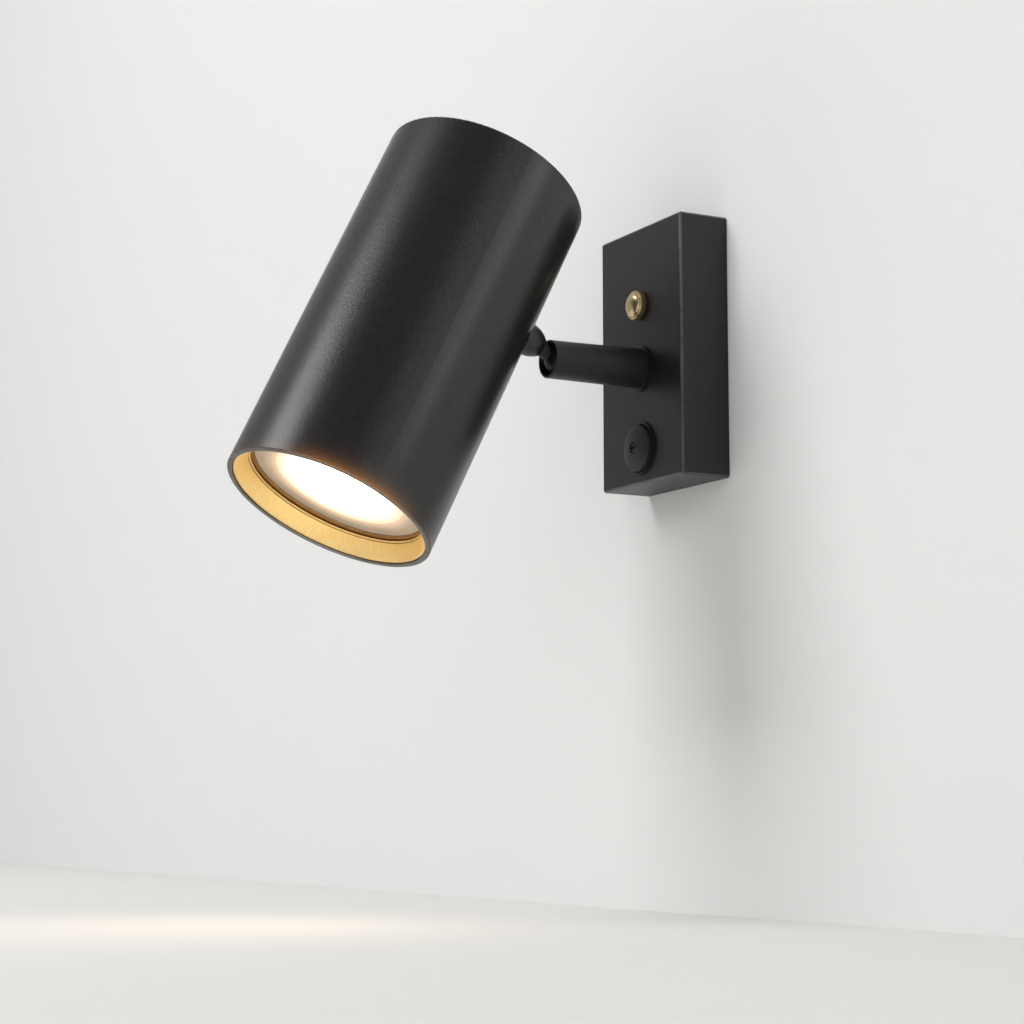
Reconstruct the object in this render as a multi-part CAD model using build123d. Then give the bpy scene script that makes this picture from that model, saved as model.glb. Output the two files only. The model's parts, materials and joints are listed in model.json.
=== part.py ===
"""Pivoting spotlight wall light.

World frame: millimetres, +Z up, +Y into the wall, +X to the right for someone who faces the wall.
The origin is the centre of the base's back face, on the wall.

Three local frames keep the pieces easy to read:
- face frame: x right, y up, z out of the wall. The base and the arm are drawn in it.
- stem frame: origin at the ball's centre, z out along the stem, y along the shade's axis.
- shade frame: origin at the centre of the mouth, z up the shade's axis, y towards the arm.
"""
from build123d import *
import math
import os

# ---------------------------------------------------------------- base cover
BASE_WIDTH = 45.0
BASE_HEIGHT = 77.0
BASE_DEPTH = 16.0
COVER_WALL = 1.5
COVER_EDGE_RADIUS = 0.9

# places on the cover's face: the arm from its centre, the nut and the button from its ends
ARM_HEIGHT = -4.2
CAP_NUT_FROM_TOP = 23.7
BUTTON_FROM_BOTTOM = 10.5

# ---------------------------------------------------------------- fits
RUNNING_CLEARANCE = 0.05
THREAD_CLEARANCE = 0.02
SEAT_CLEARANCE = 0.05
HOLE_CLEARANCE = 0.2

# ---------------------------------------------------------------- wall bracket
BRACKET_SIDE_GAP = 2.0
BRACKET_END_GAP = 2.0
BRACKET_THICKNESS = 1.5
BRACKET_CORNER_RADIUS = 3.0
LIP_LENGTH = 18.0
LIP_HEIGHT = 4.0
FIXING_FROM_SIDE = 5.0
FIXING_FROM_END = 5.0
FIXING_SLOT_LENGTH = 7.0
FIXING_SLOT_WIDTH = 4.4

CABLE_FROM_SIDE = 8.0
CABLE_FROM_END = 15.0
CABLE_BORE_RADIUS = 3.3
BUSH_WALL = 1.7
BUSH_FLANGE_WIDTH = 1.2
BUSH_FLANGE_THICKNESS = 1.2

EARTH_FROM_SIDE = 6.5
EARTH_HEIGHT = -13.0
EARTH_SHANK_RADIUS = 1.7
EARTH_HEAD_RADIUS = 3.1
EARTH_HEAD_HEIGHT = 2.0
EARTH_WASHER_RADIUS = 3.8
EARTH_WASHER_THICKNESS = 0.6
SLOT_WIDTH = 0.8
SLOT_DEPTH = 0.9

# ---------------------------------------------------------------- stud and cap nut
STUD_RADIUS = 2.0
STUD_COLLAR_RADIUS = 3.4
STUD_COLLAR_HEIGHT = 1.5
STUD_REACH_IN_NUT = 1.7
NUT_WASHER_RADIUS = 4.1
NUT_WASHER_THICKNESS = 0.4
NUT_RADIUS = 4.25
NUT_HEIGHT = 2.0
NUT_LIP_WIDTH = 0.35
NUT_LIP_DEPTH = 0.35
NUT_DOME_GAP = 0.3
NUT_DOME_HEIGHT = 1.9
NUT_END_GAP = 0.4

# ---------------------------------------------------------------- terminal block and leads
BLOCK_FROM_SIDE = 6.5
BLOCK_FROM_END = 17.5
BLOCK_WIDTH = 11.0
BLOCK_LENGTH = 16.0
BLOCK_HEIGHT = 9.5
BLOCK_CORNER = 0.8
POLE_SPACING = 5.0
WELL_RADIUS = 1.9
WELL_DEPTH = 4.5
TERMINAL_SCREW_RADIUS = 1.6
TERMINAL_SCREW_HEIGHT = 2.6
ENTRY_RADIUS = 1.1
ENTRY_DEPTH = 5.0
ENTRY_LEVEL = 3.5
LEAD_RADIUS = 0.55
LEAD_OFFSET = 0.62
LEAD_BEND_RADIUS = 2.0
LEAD_END_GAP = 0.5
LEAD_REST_GAP = 0.2
LEAD_STRAIGHT = 3.0

# ---------------------------------------------------------------- push button and switch
BUTTON_RADIUS = 6.9
BUTTON_GAP = 0.3
BUTTON_RIM_WHEN_PRESSED = 0.3
BUTTON_DOME_HEIGHT = 1.3
BUTTON_EDGE_RADIUS = 0.3
BUTTON_CROWN_THICKNESS = 1.6
BUTTON_WALL = 1.5
BUTTON_SKIRT = 4.0
BUTTON_TRAVEL = 1.5
BUTTON_SCREW_RADIUS = 0.8
BUTTON_SCREW_HEAD_RADIUS = 1.25
BUTTON_SCREW_HEAD_HEIGHT = 0.6
BUTTON_SCREW_REACH = 4.0
DIMPLE_RADIUS = 1.6
DIMPLE_DEPTH = 0.9
BEZEL_WIDTH = 0.7
BEZEL_HEIGHT = 0.6
BEZEL_BARREL_WALL = 0.35
SWITCH_WALL = 1.6
SWITCH_DEPTH = 9.5
SWITCH_FLOOR = 1.5
PLUNGER_RADIUS = 1.6
PLUNGER_TAIL = 0.9
CLIP_THICKNESS = 0.5
CLIP_WIDTH = 1.5
CLIP_GAP = 0.1
SPRING_INNER_RADIUS = 2.2
SPRING_WIRE = 0.6
SWITCH_SCREW_OFFSET = 12.0
SWITCH_EAR_RADIUS = 2.8
SWITCH_EAR_THICKNESS = 2.0
SWITCH_BOSS_HEIGHT = 2.5
SWITCH_SCREW_RADIUS = 1.0
SWITCH_SCREW_HEAD_RADIUS = 2.0
SWITCH_SCREW_HEAD_HEIGHT = 1.4
CONTACT_OFFSET = 4.0
CONTACT_WIDTH = 2.4
CONTACT_THICKNESS = 0.6
CONTACT_LEVEL = 2.4
CONTACT_REACH = 4.0
CONTACT_ROOT = 2.2

# ---------------------------------------------------------------- arm and its swivel in the base
ARM_REACH = 31.3
ARM_ROOT_RADIUS = 5.9
ARM_MOUTH_RADIUS = 5.55
ARM_MOUTH_WALL = 0.6
ARM_EDGE_RADIUS = 0.2
SWIVEL_AT_REST = 4.0
COLLAR_FLANGE_RADIUS = 6.8
COLLAR_FLANGE_THICKNESS = 0.8
COLLAR_WALL = 1.3
COLLAR_NUT_WIDTH = 2.8
COLLAR_NUT_THICKNESS = 2.0
COLLAR_TAIL = 0.1
NIPPLE_RADIUS = 4.35
NIPPLE_WALL = 1.75
NIPPLE_REACH_IN_ARM = 7.0
NIPPLE_TAIL = 0.5
FRICTION_WASHER_THICKNESS = 0.5
FRICTION_WASHER_WIDTH = 2.2
STOP_WASHER_WIDTH = 2.4
STOP_WASHER_THICKNESS = 0.8
STOP_TAB_REACH = 1.8
STOP_TAB_WIDTH = 2.0
STOP_PIN_RADIUS = 0.8
WAVE_WASHER_THICKNESS = 0.6
ARM_NUT_ACROSS_FLATS = 13.0
ARM_NUT_THICKNESS = 2.8

# ---------------------------------------------------------------- ball joint in the arm's mouth
BALL_RADIUS = 4.3
BALL_CLEARANCE = 0.08
BALL_BACK_FLAT = 3.6
BALL_DEPTH = 3.6
LIP_AHEAD = 1.6
TILT_AT_REST = 27.3
STEM_RADIUS = 2.3
STEM_BORE_RADIUS = 1.3
SEAT_LENGTH = 4.0
SEAT_BACKSET = 2.0
SEAT_BORE_RADIUS = 2.2
DISC_SPRING_THICKNESS = 0.4
DISC_SPRING_RISE = 0.4
DISC_SPRING_INNER_RADIUS = 2.4
DISC_SPRING_OUTER_RADIUS = 4.2
PLUG_LENGTH = 3.5
PLUG_BORE_RADIUS = 2.0
PLUG_SLOT_WIDTH = 1.2
PLUG_SLOT_DEPTH = 1.2

# ---------------------------------------------------------------- neck between the ball and the shade
NECK_LENGTH = 12.8
DOME_RADIUS = 4.7
DOME_TIP_RADIUS = 2.75
DOME_LENGTH = 6.3
DOME_BULGE = 0.55
DOME_FOOT = 0.6
PAD_WIDTH = 12.0
PAD_HEIGHT = 13.0
PAD_THICKNESS = 1.7
STEM_WASHER_RADIUS = 4.9
STEM_WASHER_THICKNESS = 0.6
SPRING_WASHER_RADIUS = 4.2
SPRING_WASHER_THICKNESS = 0.7
STEM_NUT_ACROSS_FLATS = 8.0
STEM_NUT_THICKNESS = 2.6
STEM_TAIL = 0.7

# ---------------------------------------------------------------- shade
SHADE_RADIUS = 30.0
SHADE_LENGTH = 111.9
SHADE_WALL = 1.5
SHADE_TOP_EDGE_RADIUS = 0.6
SHADE_MOUTH_EDGE_RADIUS = 0.35
STEM_BELOW_TOP = 34.9

# ---------------------------------------------------------------- gold ring inside the mouth
RING_SETBACK = 0.5
RING_DEPTH = 5.7
RING_WALL = 0.75
RING_TAPER = 1.9
RING_LIP_DEPTH = 0.8

# ---------------------------------------------------------------- lamp and lampholder
LAMP_SETBACK = 7.3
LAMP_LENGTH = 46.4
LAMP_FACE_RADIUS = 25.0
LAMP_FACE_HEIGHT = 4.0
LAMP_WAIST_RADIUS = 15.0
LAMP_WAIST_HEIGHT = 31.0
LAMP_BASE_RADIUS = 13.6
LENS_RADIUS = 18.8
LENS_THICKNESS = 2.0
LENS_CROWN = 0.5
PIN_SPACING = 10.0
PIN_RADIUS = 1.4
PIN_HEAD_RADIUS = 2.4
PIN_LENGTH = 7.0
PIN_HEAD_LENGTH = 2.4
HOLDER_RADIUS = 13.0
HOLDER_HEIGHT = 14.0
HOLDER_EDGE_RADIUS = 1.0
PIN_WELL_RADIUS = 2.9
PIN_WELL_DEPTH = 8.0
HOLDER_LEG_THICKNESS = 1.2
HOLDER_LEG_WIDTH = 12.0
HOLDER_LEG_BEYOND_AXIS = 10.0
HOLDER_LEG_ABOVE_STEM = 6.0
HOLDER_SCREW_OFFSET = 7.0
HOLDER_SCREW_RADIUS = 1.25
HOLDER_SCREW_HEAD_RADIUS = 2.4
HOLDER_SCREW_HEAD_HEIGHT = 1.6
HOLDER_SCREW_REACH = 5.0
HOLDER_LEAD_OFFSET = 3.2
HOLDER_LEAD_HOLE_RADIUS = 0.9
HOLDER_LEAD_REACH = 2.0

# ---------------------------------------------------------------- sizes that follow from those above
COVER_INSIDE = BASE_DEPTH - COVER_WALL
INNER_HALF_WIDTH = BASE_WIDTH / 2 - COVER_WALL
INNER_HALF_HEIGHT = BASE_HEIGHT / 2 - COVER_WALL
BRACKET_WIDTH = 2 * (INNER_HALF_WIDTH - BRACKET_SIDE_GAP)
BRACKET_HEIGHT = 2 * (INNER_HALF_HEIGHT - BRACKET_END_GAP)
CAP_NUT_HEIGHT = BASE_HEIGHT / 2 - CAP_NUT_FROM_TOP
BUTTON_HEIGHT = BUTTON_FROM_BOTTOM - BASE_HEIGHT / 2
FIXING_SPACING_X = BRACKET_WIDTH - 2 * FIXING_FROM_SIDE
FIXING_SPACING_Y = BRACKET_HEIGHT - 2 * FIXING_FROM_END
CABLE_PLACE = (BRACKET_WIDTH / 2 - CABLE_FROM_SIDE, BRACKET_HEIGHT / 2 - CABLE_FROM_END)
EARTH_PLACE = (BRACKET_WIDTH / 2 - EARTH_FROM_SIDE, EARTH_HEIGHT)
BLOCK_PLACE = (BLOCK_FROM_SIDE - BRACKET_WIDTH / 2, BRACKET_HEIGHT / 2 - BLOCK_FROM_END)

NUT_WASHER_TOP = BASE_DEPTH + NUT_WASHER_THICKNESS
STUD_END = NUT_WASHER_TOP + STUD_REACH_IN_NUT

BUTTON_RIM = BASE_DEPTH + BUTTON_TRAVEL + BUTTON_RIM_WHEN_PRESSED
BUTTON_APEX = BUTTON_RIM + BUTTON_DOME_HEIGHT
BUTTON_CROWN = BUTTON_RIM - BUTTON_CROWN_THICKNESS
BUTTON_HOLE_RADIUS = BUTTON_RADIUS + BUTTON_GAP
SWITCH_RADIUS = BUTTON_HOLE_RADIUS + SWITCH_WALL
SWITCH_BACK = COVER_INSIDE - SWITCH_DEPTH
SWITCH_FLOOR_TOP = SWITCH_BACK + SWITCH_FLOOR

COLLAR_BORE_RADIUS = NIPPLE_RADIUS + RUNNING_CLEARANCE
COLLAR_RADIUS = COLLAR_BORE_RADIUS + COLLAR_WALL
COLLAR_NUT_RADIUS = COLLAR_RADIUS + COLLAR_NUT_WIDTH
COLLAR_NUT_BACK = COVER_INSIDE - COLLAR_NUT_THICKNESS
COLLAR_BACK = COLLAR_NUT_BACK - COLLAR_TAIL
FRICTION_WASHER_BACK = COLLAR_BACK - FRICTION_WASHER_THICKNESS
STOP_WASHER_BACK = FRICTION_WASHER_BACK - STOP_WASHER_THICKNESS
WAVE_WASHER_BACK = STOP_WASHER_BACK - WAVE_WASHER_THICKNESS
ARM_NUT_BACK = WAVE_WASHER_BACK - ARM_NUT_THICKNESS
NIPPLE_BACK = ARM_NUT_BACK - NIPPLE_TAIL
STOP_WASHER_RADIUS = NIPPLE_RADIUS + STOP_WASHER_WIDTH
STOP_PIN_PLACE_RADIUS = STOP_WASHER_RADIUS + HOLE_CLEARANCE + STOP_PIN_RADIUS

ARM_START = BASE_DEPTH + COLLAR_FLANGE_THICKNESS
ARM_END = BASE_DEPTH + ARM_REACH
ARM_BORE_RADIUS = BALL_RADIUS + BALL_CLEARANCE
ARM_MOUTH_BORE_RADIUS = ARM_MOUTH_RADIUS - ARM_MOUTH_WALL
BALL_OUT = ARM_END - BALL_DEPTH
LIP_RADIUS = math.sqrt(ARM_BORE_RADIUS ** 2 - LIP_AHEAD ** 2)
SEAT_FRONT = BALL_OUT - SEAT_BACKSET
SEAT_BACK = SEAT_FRONT - SEAT_LENGTH
SPRINGS_BACK = SEAT_BACK - 2 * (DISC_SPRING_THICKNESS + DISC_SPRING_RISE)
PLUG_BACK = SPRINGS_BACK - PLUG_LENGTH

STEM_ABOVE_MOUTH = SHADE_LENGTH - STEM_BELOW_TOP
SHADE_AXIS_OUT = NECK_LENGTH + SHADE_RADIUS
SHADE_BORE_RADIUS = SHADE_RADIUS - SHADE_WALL
STEM_HOLE_RADIUS = STEM_RADIUS + RUNNING_CLEARANCE
PAD_FACE = NECK_LENGTH + SHADE_WALL + PAD_THICKNESS
LEG_FACE = PAD_FACE + HOLDER_LEG_THICKNESS
STEM_WASHER_FACE = LEG_FACE + STEM_WASHER_THICKNESS
SPRING_WASHER_FACE = STEM_WASHER_FACE + SPRING_WASHER_THICKNESS
STEM_NUT_FACE = SPRING_WASHER_FACE + STEM_NUT_THICKNESS
STEM_END = STEM_NUT_FACE + STEM_TAIL

LAMP_BASE = LAMP_SETBACK + LAMP_LENGTH
HOLDER_TOP = LAMP_BASE + HOLDER_HEIGHT
HOLDER_TOP_ON_STEM = HOLDER_TOP - STEM_ABOVE_MOUTH


# ---------------------------------------------------------------- frames
def from_face(piece):
    """Turn a piece drawn in the face frame into the world frame."""
    return Rot(90, 0, 0) * piece


def from_arm(piece):
    """Place a piece of the arm: it stands on the arm's axis and has the rest swivel."""
    return from_face(Pos(0, ARM_HEIGHT, 0) * Rot(0, 0, SWIVEL_AT_REST) * piece)


def from_stem(piece):
    """Place a piece of the head: it stands on the ball's centre and has the rest tilt."""
    return from_arm(Pos(0, 0, BALL_OUT) * Rot(-TILT_AT_REST, 0, 0) * piece)


def from_shade(piece):
    """Place a piece drawn up the shade's own axis, from its mouth."""
    return from_stem(shade_on_stem(piece))


def shade_on_stem(piece):
    """Turn a piece drawn in the shade frame into the stem frame."""
    return Pos(0, -STEM_ABOVE_MOUTH, SHADE_AXIS_OUT) * Rot(-90, 0, 0) * piece


# ---------------------------------------------------------------- shared shapes
def rod(radius, low, high, place=(0, 0)):
    """A solid round bar along z."""
    bar = Cylinder(radius, high - low, align=(Align.CENTER, Align.CENTER, Align.MIN))
    return Pos(place[0], place[1], low) * bar


def ring(inner, outer, low, high, place=(0, 0)):
    """A round bar along z with a round hole through it."""
    return rod(outer, low, high, place) - rod(inner, low, high, place)


def block(width, length, low, high, place=(0, 0)):
    """A box centred on place in x and y, from low to high in z."""
    box = Box(width, length, high - low, align=(Align.CENTER, Align.CENTER, Align.MIN))
    return Pos(place[0], place[1], low) * box


def turned(points):
    """A turned piece: a closed outline of (radius, z) points, revolved about z."""
    outline = Polyline(*[(radius, 0, level) for radius, level in points], close=True)
    return revolve(make_face(outline), Axis.Z, 360)


def hexagon(across_flats, low, high):
    """A hexagonal bar along z."""
    outline = RegularPolygon(across_flats / 2, 6, major_radius=False)
    return Pos(0, 0, low) * extrude(outline, high - low)


def lead(points):
    """An insulated lead: straight runs joined by round bends."""
    path = FilletPolyline(*points, radius=LEAD_BEND_RADIUS)
    return sweep(Plane(path @ 0, z_dir=path % 0) * Circle(LEAD_RADIUS), path=path)


def slotted_head(radius, low, high, place=(0, 0)):
    """A cheese head with a screwdriver slot."""
    cut = block(2 * radius, SLOT_WIDTH, high - SLOT_DEPTH, high, place)
    return rod(radius, low, high, place) - cut


# ---------------------------------------------------------------- base pieces
def wall_bracket():
    plate = block(BRACKET_WIDTH, BRACKET_HEIGHT, 0, BRACKET_THICKNESS)
    plate = fillet(plate.edges().filter_by(Axis.Z), BRACKET_CORNER_RADIUS)
    lip_x = BRACKET_WIDTH / 2 - BRACKET_THICKNESS / 2
    for side in (-1, 1):
        plate += block(BRACKET_THICKNESS, LIP_LENGTH, 0, BRACKET_THICKNESS + LIP_HEIGHT, (side * lip_x, 0))
    for side_x in (-1, 1):
        for side_y in (-1, 1):
            slot = extrude(SlotOverall(FIXING_SLOT_LENGTH, FIXING_SLOT_WIDTH), BRACKET_THICKNESS)
            plate -= Pos(side_x * FIXING_SPACING_X / 2, side_y * FIXING_SPACING_Y / 2, 0) * slot
    plate -= rod(CABLE_BORE_RADIUS + BUSH_WALL, 0, BRACKET_THICKNESS, CABLE_PLACE)
    plate -= rod(STUD_RADIUS, 0, BRACKET_THICKNESS, (0, CAP_NUT_HEIGHT))
    plate -= rod(EARTH_SHANK_RADIUS, 0, BRACKET_THICKNESS, EARTH_PLACE)
    return plate


def base_cover():
    shell = block(BASE_WIDTH, BASE_HEIGHT, 0, BASE_DEPTH)
    sharp = shell.edges().filter_by(Axis.Z) + shell.faces().sort_by(Axis.Z)[-1].edges()
    shell = fillet(sharp, COVER_EDGE_RADIUS)
    shell -= block(2 * INNER_HALF_WIDTH, 2 * INNER_HALF_HEIGHT, 0, COVER_INSIDE)
    for side in (-1, 1):
        place = (side * SWITCH_SCREW_OFFSET, BUTTON_HEIGHT)
        pilot_radius = SWITCH_SCREW_RADIUS + THREAD_CLEARANCE
        shell += ring(pilot_radius, SWITCH_EAR_RADIUS, COVER_INSIDE - SWITCH_BOSS_HEIGHT, COVER_INSIDE, place)
    shell -= rod(STUD_RADIUS + HOLE_CLEARANCE, COVER_INSIDE, BASE_DEPTH, (0, CAP_NUT_HEIGHT))
    shell -= rod(COLLAR_RADIUS + SEAT_CLEARANCE, COVER_INSIDE, BASE_DEPTH, (0, ARM_HEIGHT))
    bezel_hole = BUTTON_HOLE_RADIUS + BEZEL_BARREL_WALL + SEAT_CLEARANCE
    shell -= rod(bezel_hole, COVER_INSIDE, BASE_DEPTH, (0, BUTTON_HEIGHT))
    return shell


def cable_bush():
    barrel = rod(CABLE_BORE_RADIUS + BUSH_WALL, 0, BRACKET_THICKNESS, CABLE_PLACE)
    flange_top = BRACKET_THICKNESS + BUSH_FLANGE_THICKNESS
    flange_radius = CABLE_BORE_RADIUS + BUSH_WALL + BUSH_FLANGE_WIDTH
    flange = rod(flange_radius, BRACKET_THICKNESS, flange_top, CABLE_PLACE)
    return barrel + flange - rod(CABLE_BORE_RADIUS, 0, flange_top, CABLE_PLACE)


def earth_screw():
    washer_top = BRACKET_THICKNESS + EARTH_WASHER_THICKNESS
    shank = rod(EARTH_SHANK_RADIUS, 0, washer_top, EARTH_PLACE)
    return shank + slotted_head(EARTH_HEAD_RADIUS, washer_top, washer_top + EARTH_HEAD_HEIGHT, EARTH_PLACE)


def earth_washer():
    inner = EARTH_SHANK_RADIUS + THREAD_CLEARANCE
    washer_top = BRACKET_THICKNESS + EARTH_WASHER_THICKNESS
    return ring(inner, EARTH_WASHER_RADIUS, BRACKET_THICKNESS, washer_top, EARTH_PLACE)


def bracket_stud():
    place = (0, CAP_NUT_HEIGHT)
    collar = rod(STUD_COLLAR_RADIUS, BRACKET_THICKNESS, BRACKET_THICKNESS + STUD_COLLAR_HEIGHT, place)
    return rod(STUD_RADIUS, 0, STUD_END, place) + collar


def nut_washer():
    place = (0, CAP_NUT_HEIGHT)
    return ring(STUD_RADIUS + HOLE_CLEARANCE, NUT_WASHER_RADIUS, BASE_DEPTH, NUT_WASHER_TOP, place)


def cap_nut():
    top = NUT_WASHER_TOP + NUT_HEIGHT
    lip_inside = NUT_RADIUS - NUT_LIP_WIDTH
    dome_radius = lip_inside - NUT_DOME_GAP
    groove = top - NUT_LIP_DEPTH
    body = turned([
        (0, NUT_WASHER_TOP), (NUT_RADIUS, NUT_WASHER_TOP), (NUT_RADIUS, top),
        (lip_inside, top), (lip_inside, groove), (0, groove),
    ])
    sphere_radius = (dome_radius ** 2 + NUT_DOME_HEIGHT ** 2) / (2 * NUT_DOME_HEIGHT)
    ball = Pos(0, 0, groove + NUT_DOME_HEIGHT - sphere_radius) * Sphere(sphere_radius)
    dome = ball & block(2 * NUT_RADIUS, 2 * NUT_RADIUS, groove, groove + 2 * NUT_DOME_HEIGHT)
    bore = rod(STUD_RADIUS + THREAD_CLEARANCE, NUT_WASHER_TOP, STUD_END + NUT_END_GAP)
    return Pos(0, CAP_NUT_HEIGHT, 0) * (body + dome - bore)


def pole_places():
    """Where the terminal block's poles stand: their x places."""
    return [BLOCK_PLACE[0] - POLE_SPACING / 2, BLOCK_PLACE[0] + POLE_SPACING / 2]


def terminal_block():
    top = BRACKET_THICKNESS + BLOCK_HEIGHT
    body = block(BLOCK_WIDTH, BLOCK_LENGTH, BRACKET_THICKNESS, top, BLOCK_PLACE)
    body = chamfer(body.edges().filter_by(Axis.Z), BLOCK_CORNER)
    entry_z = BRACKET_THICKNESS + ENTRY_LEVEL
    low_y = BLOCK_PLACE[1] - BLOCK_LENGTH / 2
    for x in pole_places():
        body -= rod(WELL_RADIUS, top - WELL_DEPTH, top, (x, BLOCK_PLACE[1]))
        entry = Cylinder(ENTRY_RADIUS, ENTRY_DEPTH, align=(Align.CENTER, Align.CENTER, Align.MIN))
        body -= Pos(x, low_y, entry_z) * Rot(-90, 0, 0) * entry
    return body


def terminal_screws():
    low = BRACKET_THICKNESS + BLOCK_HEIGHT - WELL_DEPTH
    high = low + TERMINAL_SCREW_HEIGHT
    places = [(x, BLOCK_PLACE[1]) for x in pole_places()]
    return Compound([slotted_head(TERMINAL_SCREW_RADIUS, low, high, place) for place in places])


def base_leads():
    """Three leads: block to switch, switch to arm, block to arm."""
    level = BRACKET_THICKNESS + ENTRY_LEVEL
    under = BRACKET_THICKNESS + LEAD_RADIUS + LEAD_REST_GAP
    far_x, near_x = pole_places()
    block_y = BLOCK_PLACE[1] - BLOCK_LENGTH / 2
    start_y = block_y + ENTRY_DEPTH - LEAD_END_GAP
    contact_y = contact_end() - LEAD_END_GAP
    contact_z = contact_level() - LEAD_RADIUS
    arm_end = NIPPLE_BACK - LEAD_END_GAP
    below_arm = contact_y + LEAD_STRAIGHT
    to_switch = lead([
        (far_x, start_y, level), (far_x, block_y - 4 * LEAD_BEND_RADIUS, level),
        (-CONTACT_OFFSET, below_arm, contact_z), (-CONTACT_OFFSET, contact_y, contact_z),
    ])
    switched = lead([
        (CONTACT_OFFSET, contact_y, contact_z), (CONTACT_OFFSET, below_arm, contact_z),
        (LEAD_OFFSET, ARM_HEIGHT, under), (LEAD_OFFSET, ARM_HEIGHT, arm_end),
    ])
    neutral = lead([
        (near_x, start_y, level), (near_x, block_y - 2 * LEAD_BEND_RADIUS, level),
        (-LEAD_OFFSET, ARM_HEIGHT, under), (-LEAD_OFFSET, ARM_HEIGHT, arm_end),
    ])
    return Compound([to_switch, switched, neutral])


def arm_collar():
    flange = rod(COLLAR_FLANGE_RADIUS, BASE_DEPTH, ARM_START)
    barrel = rod(COLLAR_RADIUS, COLLAR_BACK, BASE_DEPTH)
    collar = flange + barrel - rod(COLLAR_BORE_RADIUS, COLLAR_BACK, ARM_START)
    return Pos(0, ARM_HEIGHT, 0) * collar


def collar_nut():
    nut = ring(COLLAR_RADIUS + THREAD_CLEARANCE, COLLAR_NUT_RADIUS, COLLAR_NUT_BACK, COVER_INSIDE)
    nut -= rod(STOP_PIN_RADIUS, COLLAR_NUT_BACK, COVER_INSIDE, (0, -STOP_PIN_PLACE_RADIUS))
    return Pos(0, ARM_HEIGHT, 0) * nut


def stop_pin():
    return rod(STOP_PIN_RADIUS, STOP_WASHER_BACK, COVER_INSIDE, (0, ARM_HEIGHT - STOP_PIN_PLACE_RADIUS))


# ---------------------------------------------------------------- switch and button
def contact_end():
    """How high the switch's blades reach, in the face frame."""
    return BUTTON_HEIGHT + SWITCH_RADIUS + CONTACT_REACH


def contact_level():
    """The side of a blade that its lead lies against."""
    return SWITCH_BACK + CONTACT_LEVEL


def contact_blade(side, clearance=0.0):
    root = BUTTON_HEIGHT + SWITCH_RADIUS - CONTACT_ROOT
    low = contact_level() - clearance
    high = contact_level() + CONTACT_THICKNESS + clearance
    middle = (root + contact_end()) / 2
    length = contact_end() - root + 2 * clearance
    return block(CONTACT_WIDTH + 2 * clearance, length, low, high, (side * CONTACT_OFFSET, middle))


def switch_housing():
    place = (0, BUTTON_HEIGHT)
    body = rod(SWITCH_RADIUS, SWITCH_BACK, COVER_INSIDE, place)
    ear_top = COVER_INSIDE - SWITCH_BOSS_HEIGHT
    ear_low = ear_top - SWITCH_EAR_THICKNESS
    body += block(2 * SWITCH_SCREW_OFFSET, 2 * SWITCH_EAR_RADIUS, ear_low, ear_top, place)
    for side in (-1, 1):
        body += rod(SWITCH_EAR_RADIUS, ear_low, ear_top, (side * SWITCH_SCREW_OFFSET, BUTTON_HEIGHT))
    body -= rod(BUTTON_HOLE_RADIUS, SWITCH_FLOOR_TOP, COVER_INSIDE, place)
    body -= rod(PLUNGER_RADIUS + RUNNING_CLEARANCE, SWITCH_BACK, SWITCH_FLOOR_TOP, place)
    for side in (-1, 1):
        screw_place = (side * SWITCH_SCREW_OFFSET, BUTTON_HEIGHT)
        body -= rod(SWITCH_SCREW_RADIUS + HOLE_CLEARANCE, ear_low, ear_top, screw_place)
        body -= contact_blade(side)
    return body


def switch_screws():
    ear_low = COVER_INSIDE - SWITCH_BOSS_HEIGHT - SWITCH_EAR_THICKNESS
    screws = []
    for side in (-1, 1):
        place = (side * SWITCH_SCREW_OFFSET, BUTTON_HEIGHT)
        shank = rod(SWITCH_SCREW_RADIUS, ear_low, COVER_INSIDE - THREAD_CLEARANCE, place)
        head = Pos(place[0], place[1], ear_low) * Rot(180, 0, 0) * slotted_head(
            SWITCH_SCREW_HEAD_RADIUS, 0, SWITCH_SCREW_HEAD_HEIGHT)
        screws.append(shank + head)
    return Compound(screws)


def switch_contacts():
    return Compound([contact_blade(side) for side in (-1, 1)])


def button_bezel():
    outer = BUTTON_HOLE_RADIUS + BEZEL_WIDTH
    flange = ring(BUTTON_HOLE_RADIUS, outer, BASE_DEPTH, BASE_DEPTH + BEZEL_HEIGHT)
    barrel = ring(BUTTON_HOLE_RADIUS, BUTTON_HOLE_RADIUS + BEZEL_BARREL_WALL, COVER_INSIDE, BASE_DEPTH)
    return Pos(0, BUTTON_HEIGHT, 0) * (flange + barrel)


def button_spring():
    outer = SPRING_INNER_RADIUS + SPRING_WIRE
    return ring(SPRING_INNER_RADIUS, outer, SWITCH_FLOOR_TOP, BUTTON_CROWN, (0, BUTTON_HEIGHT))


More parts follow.
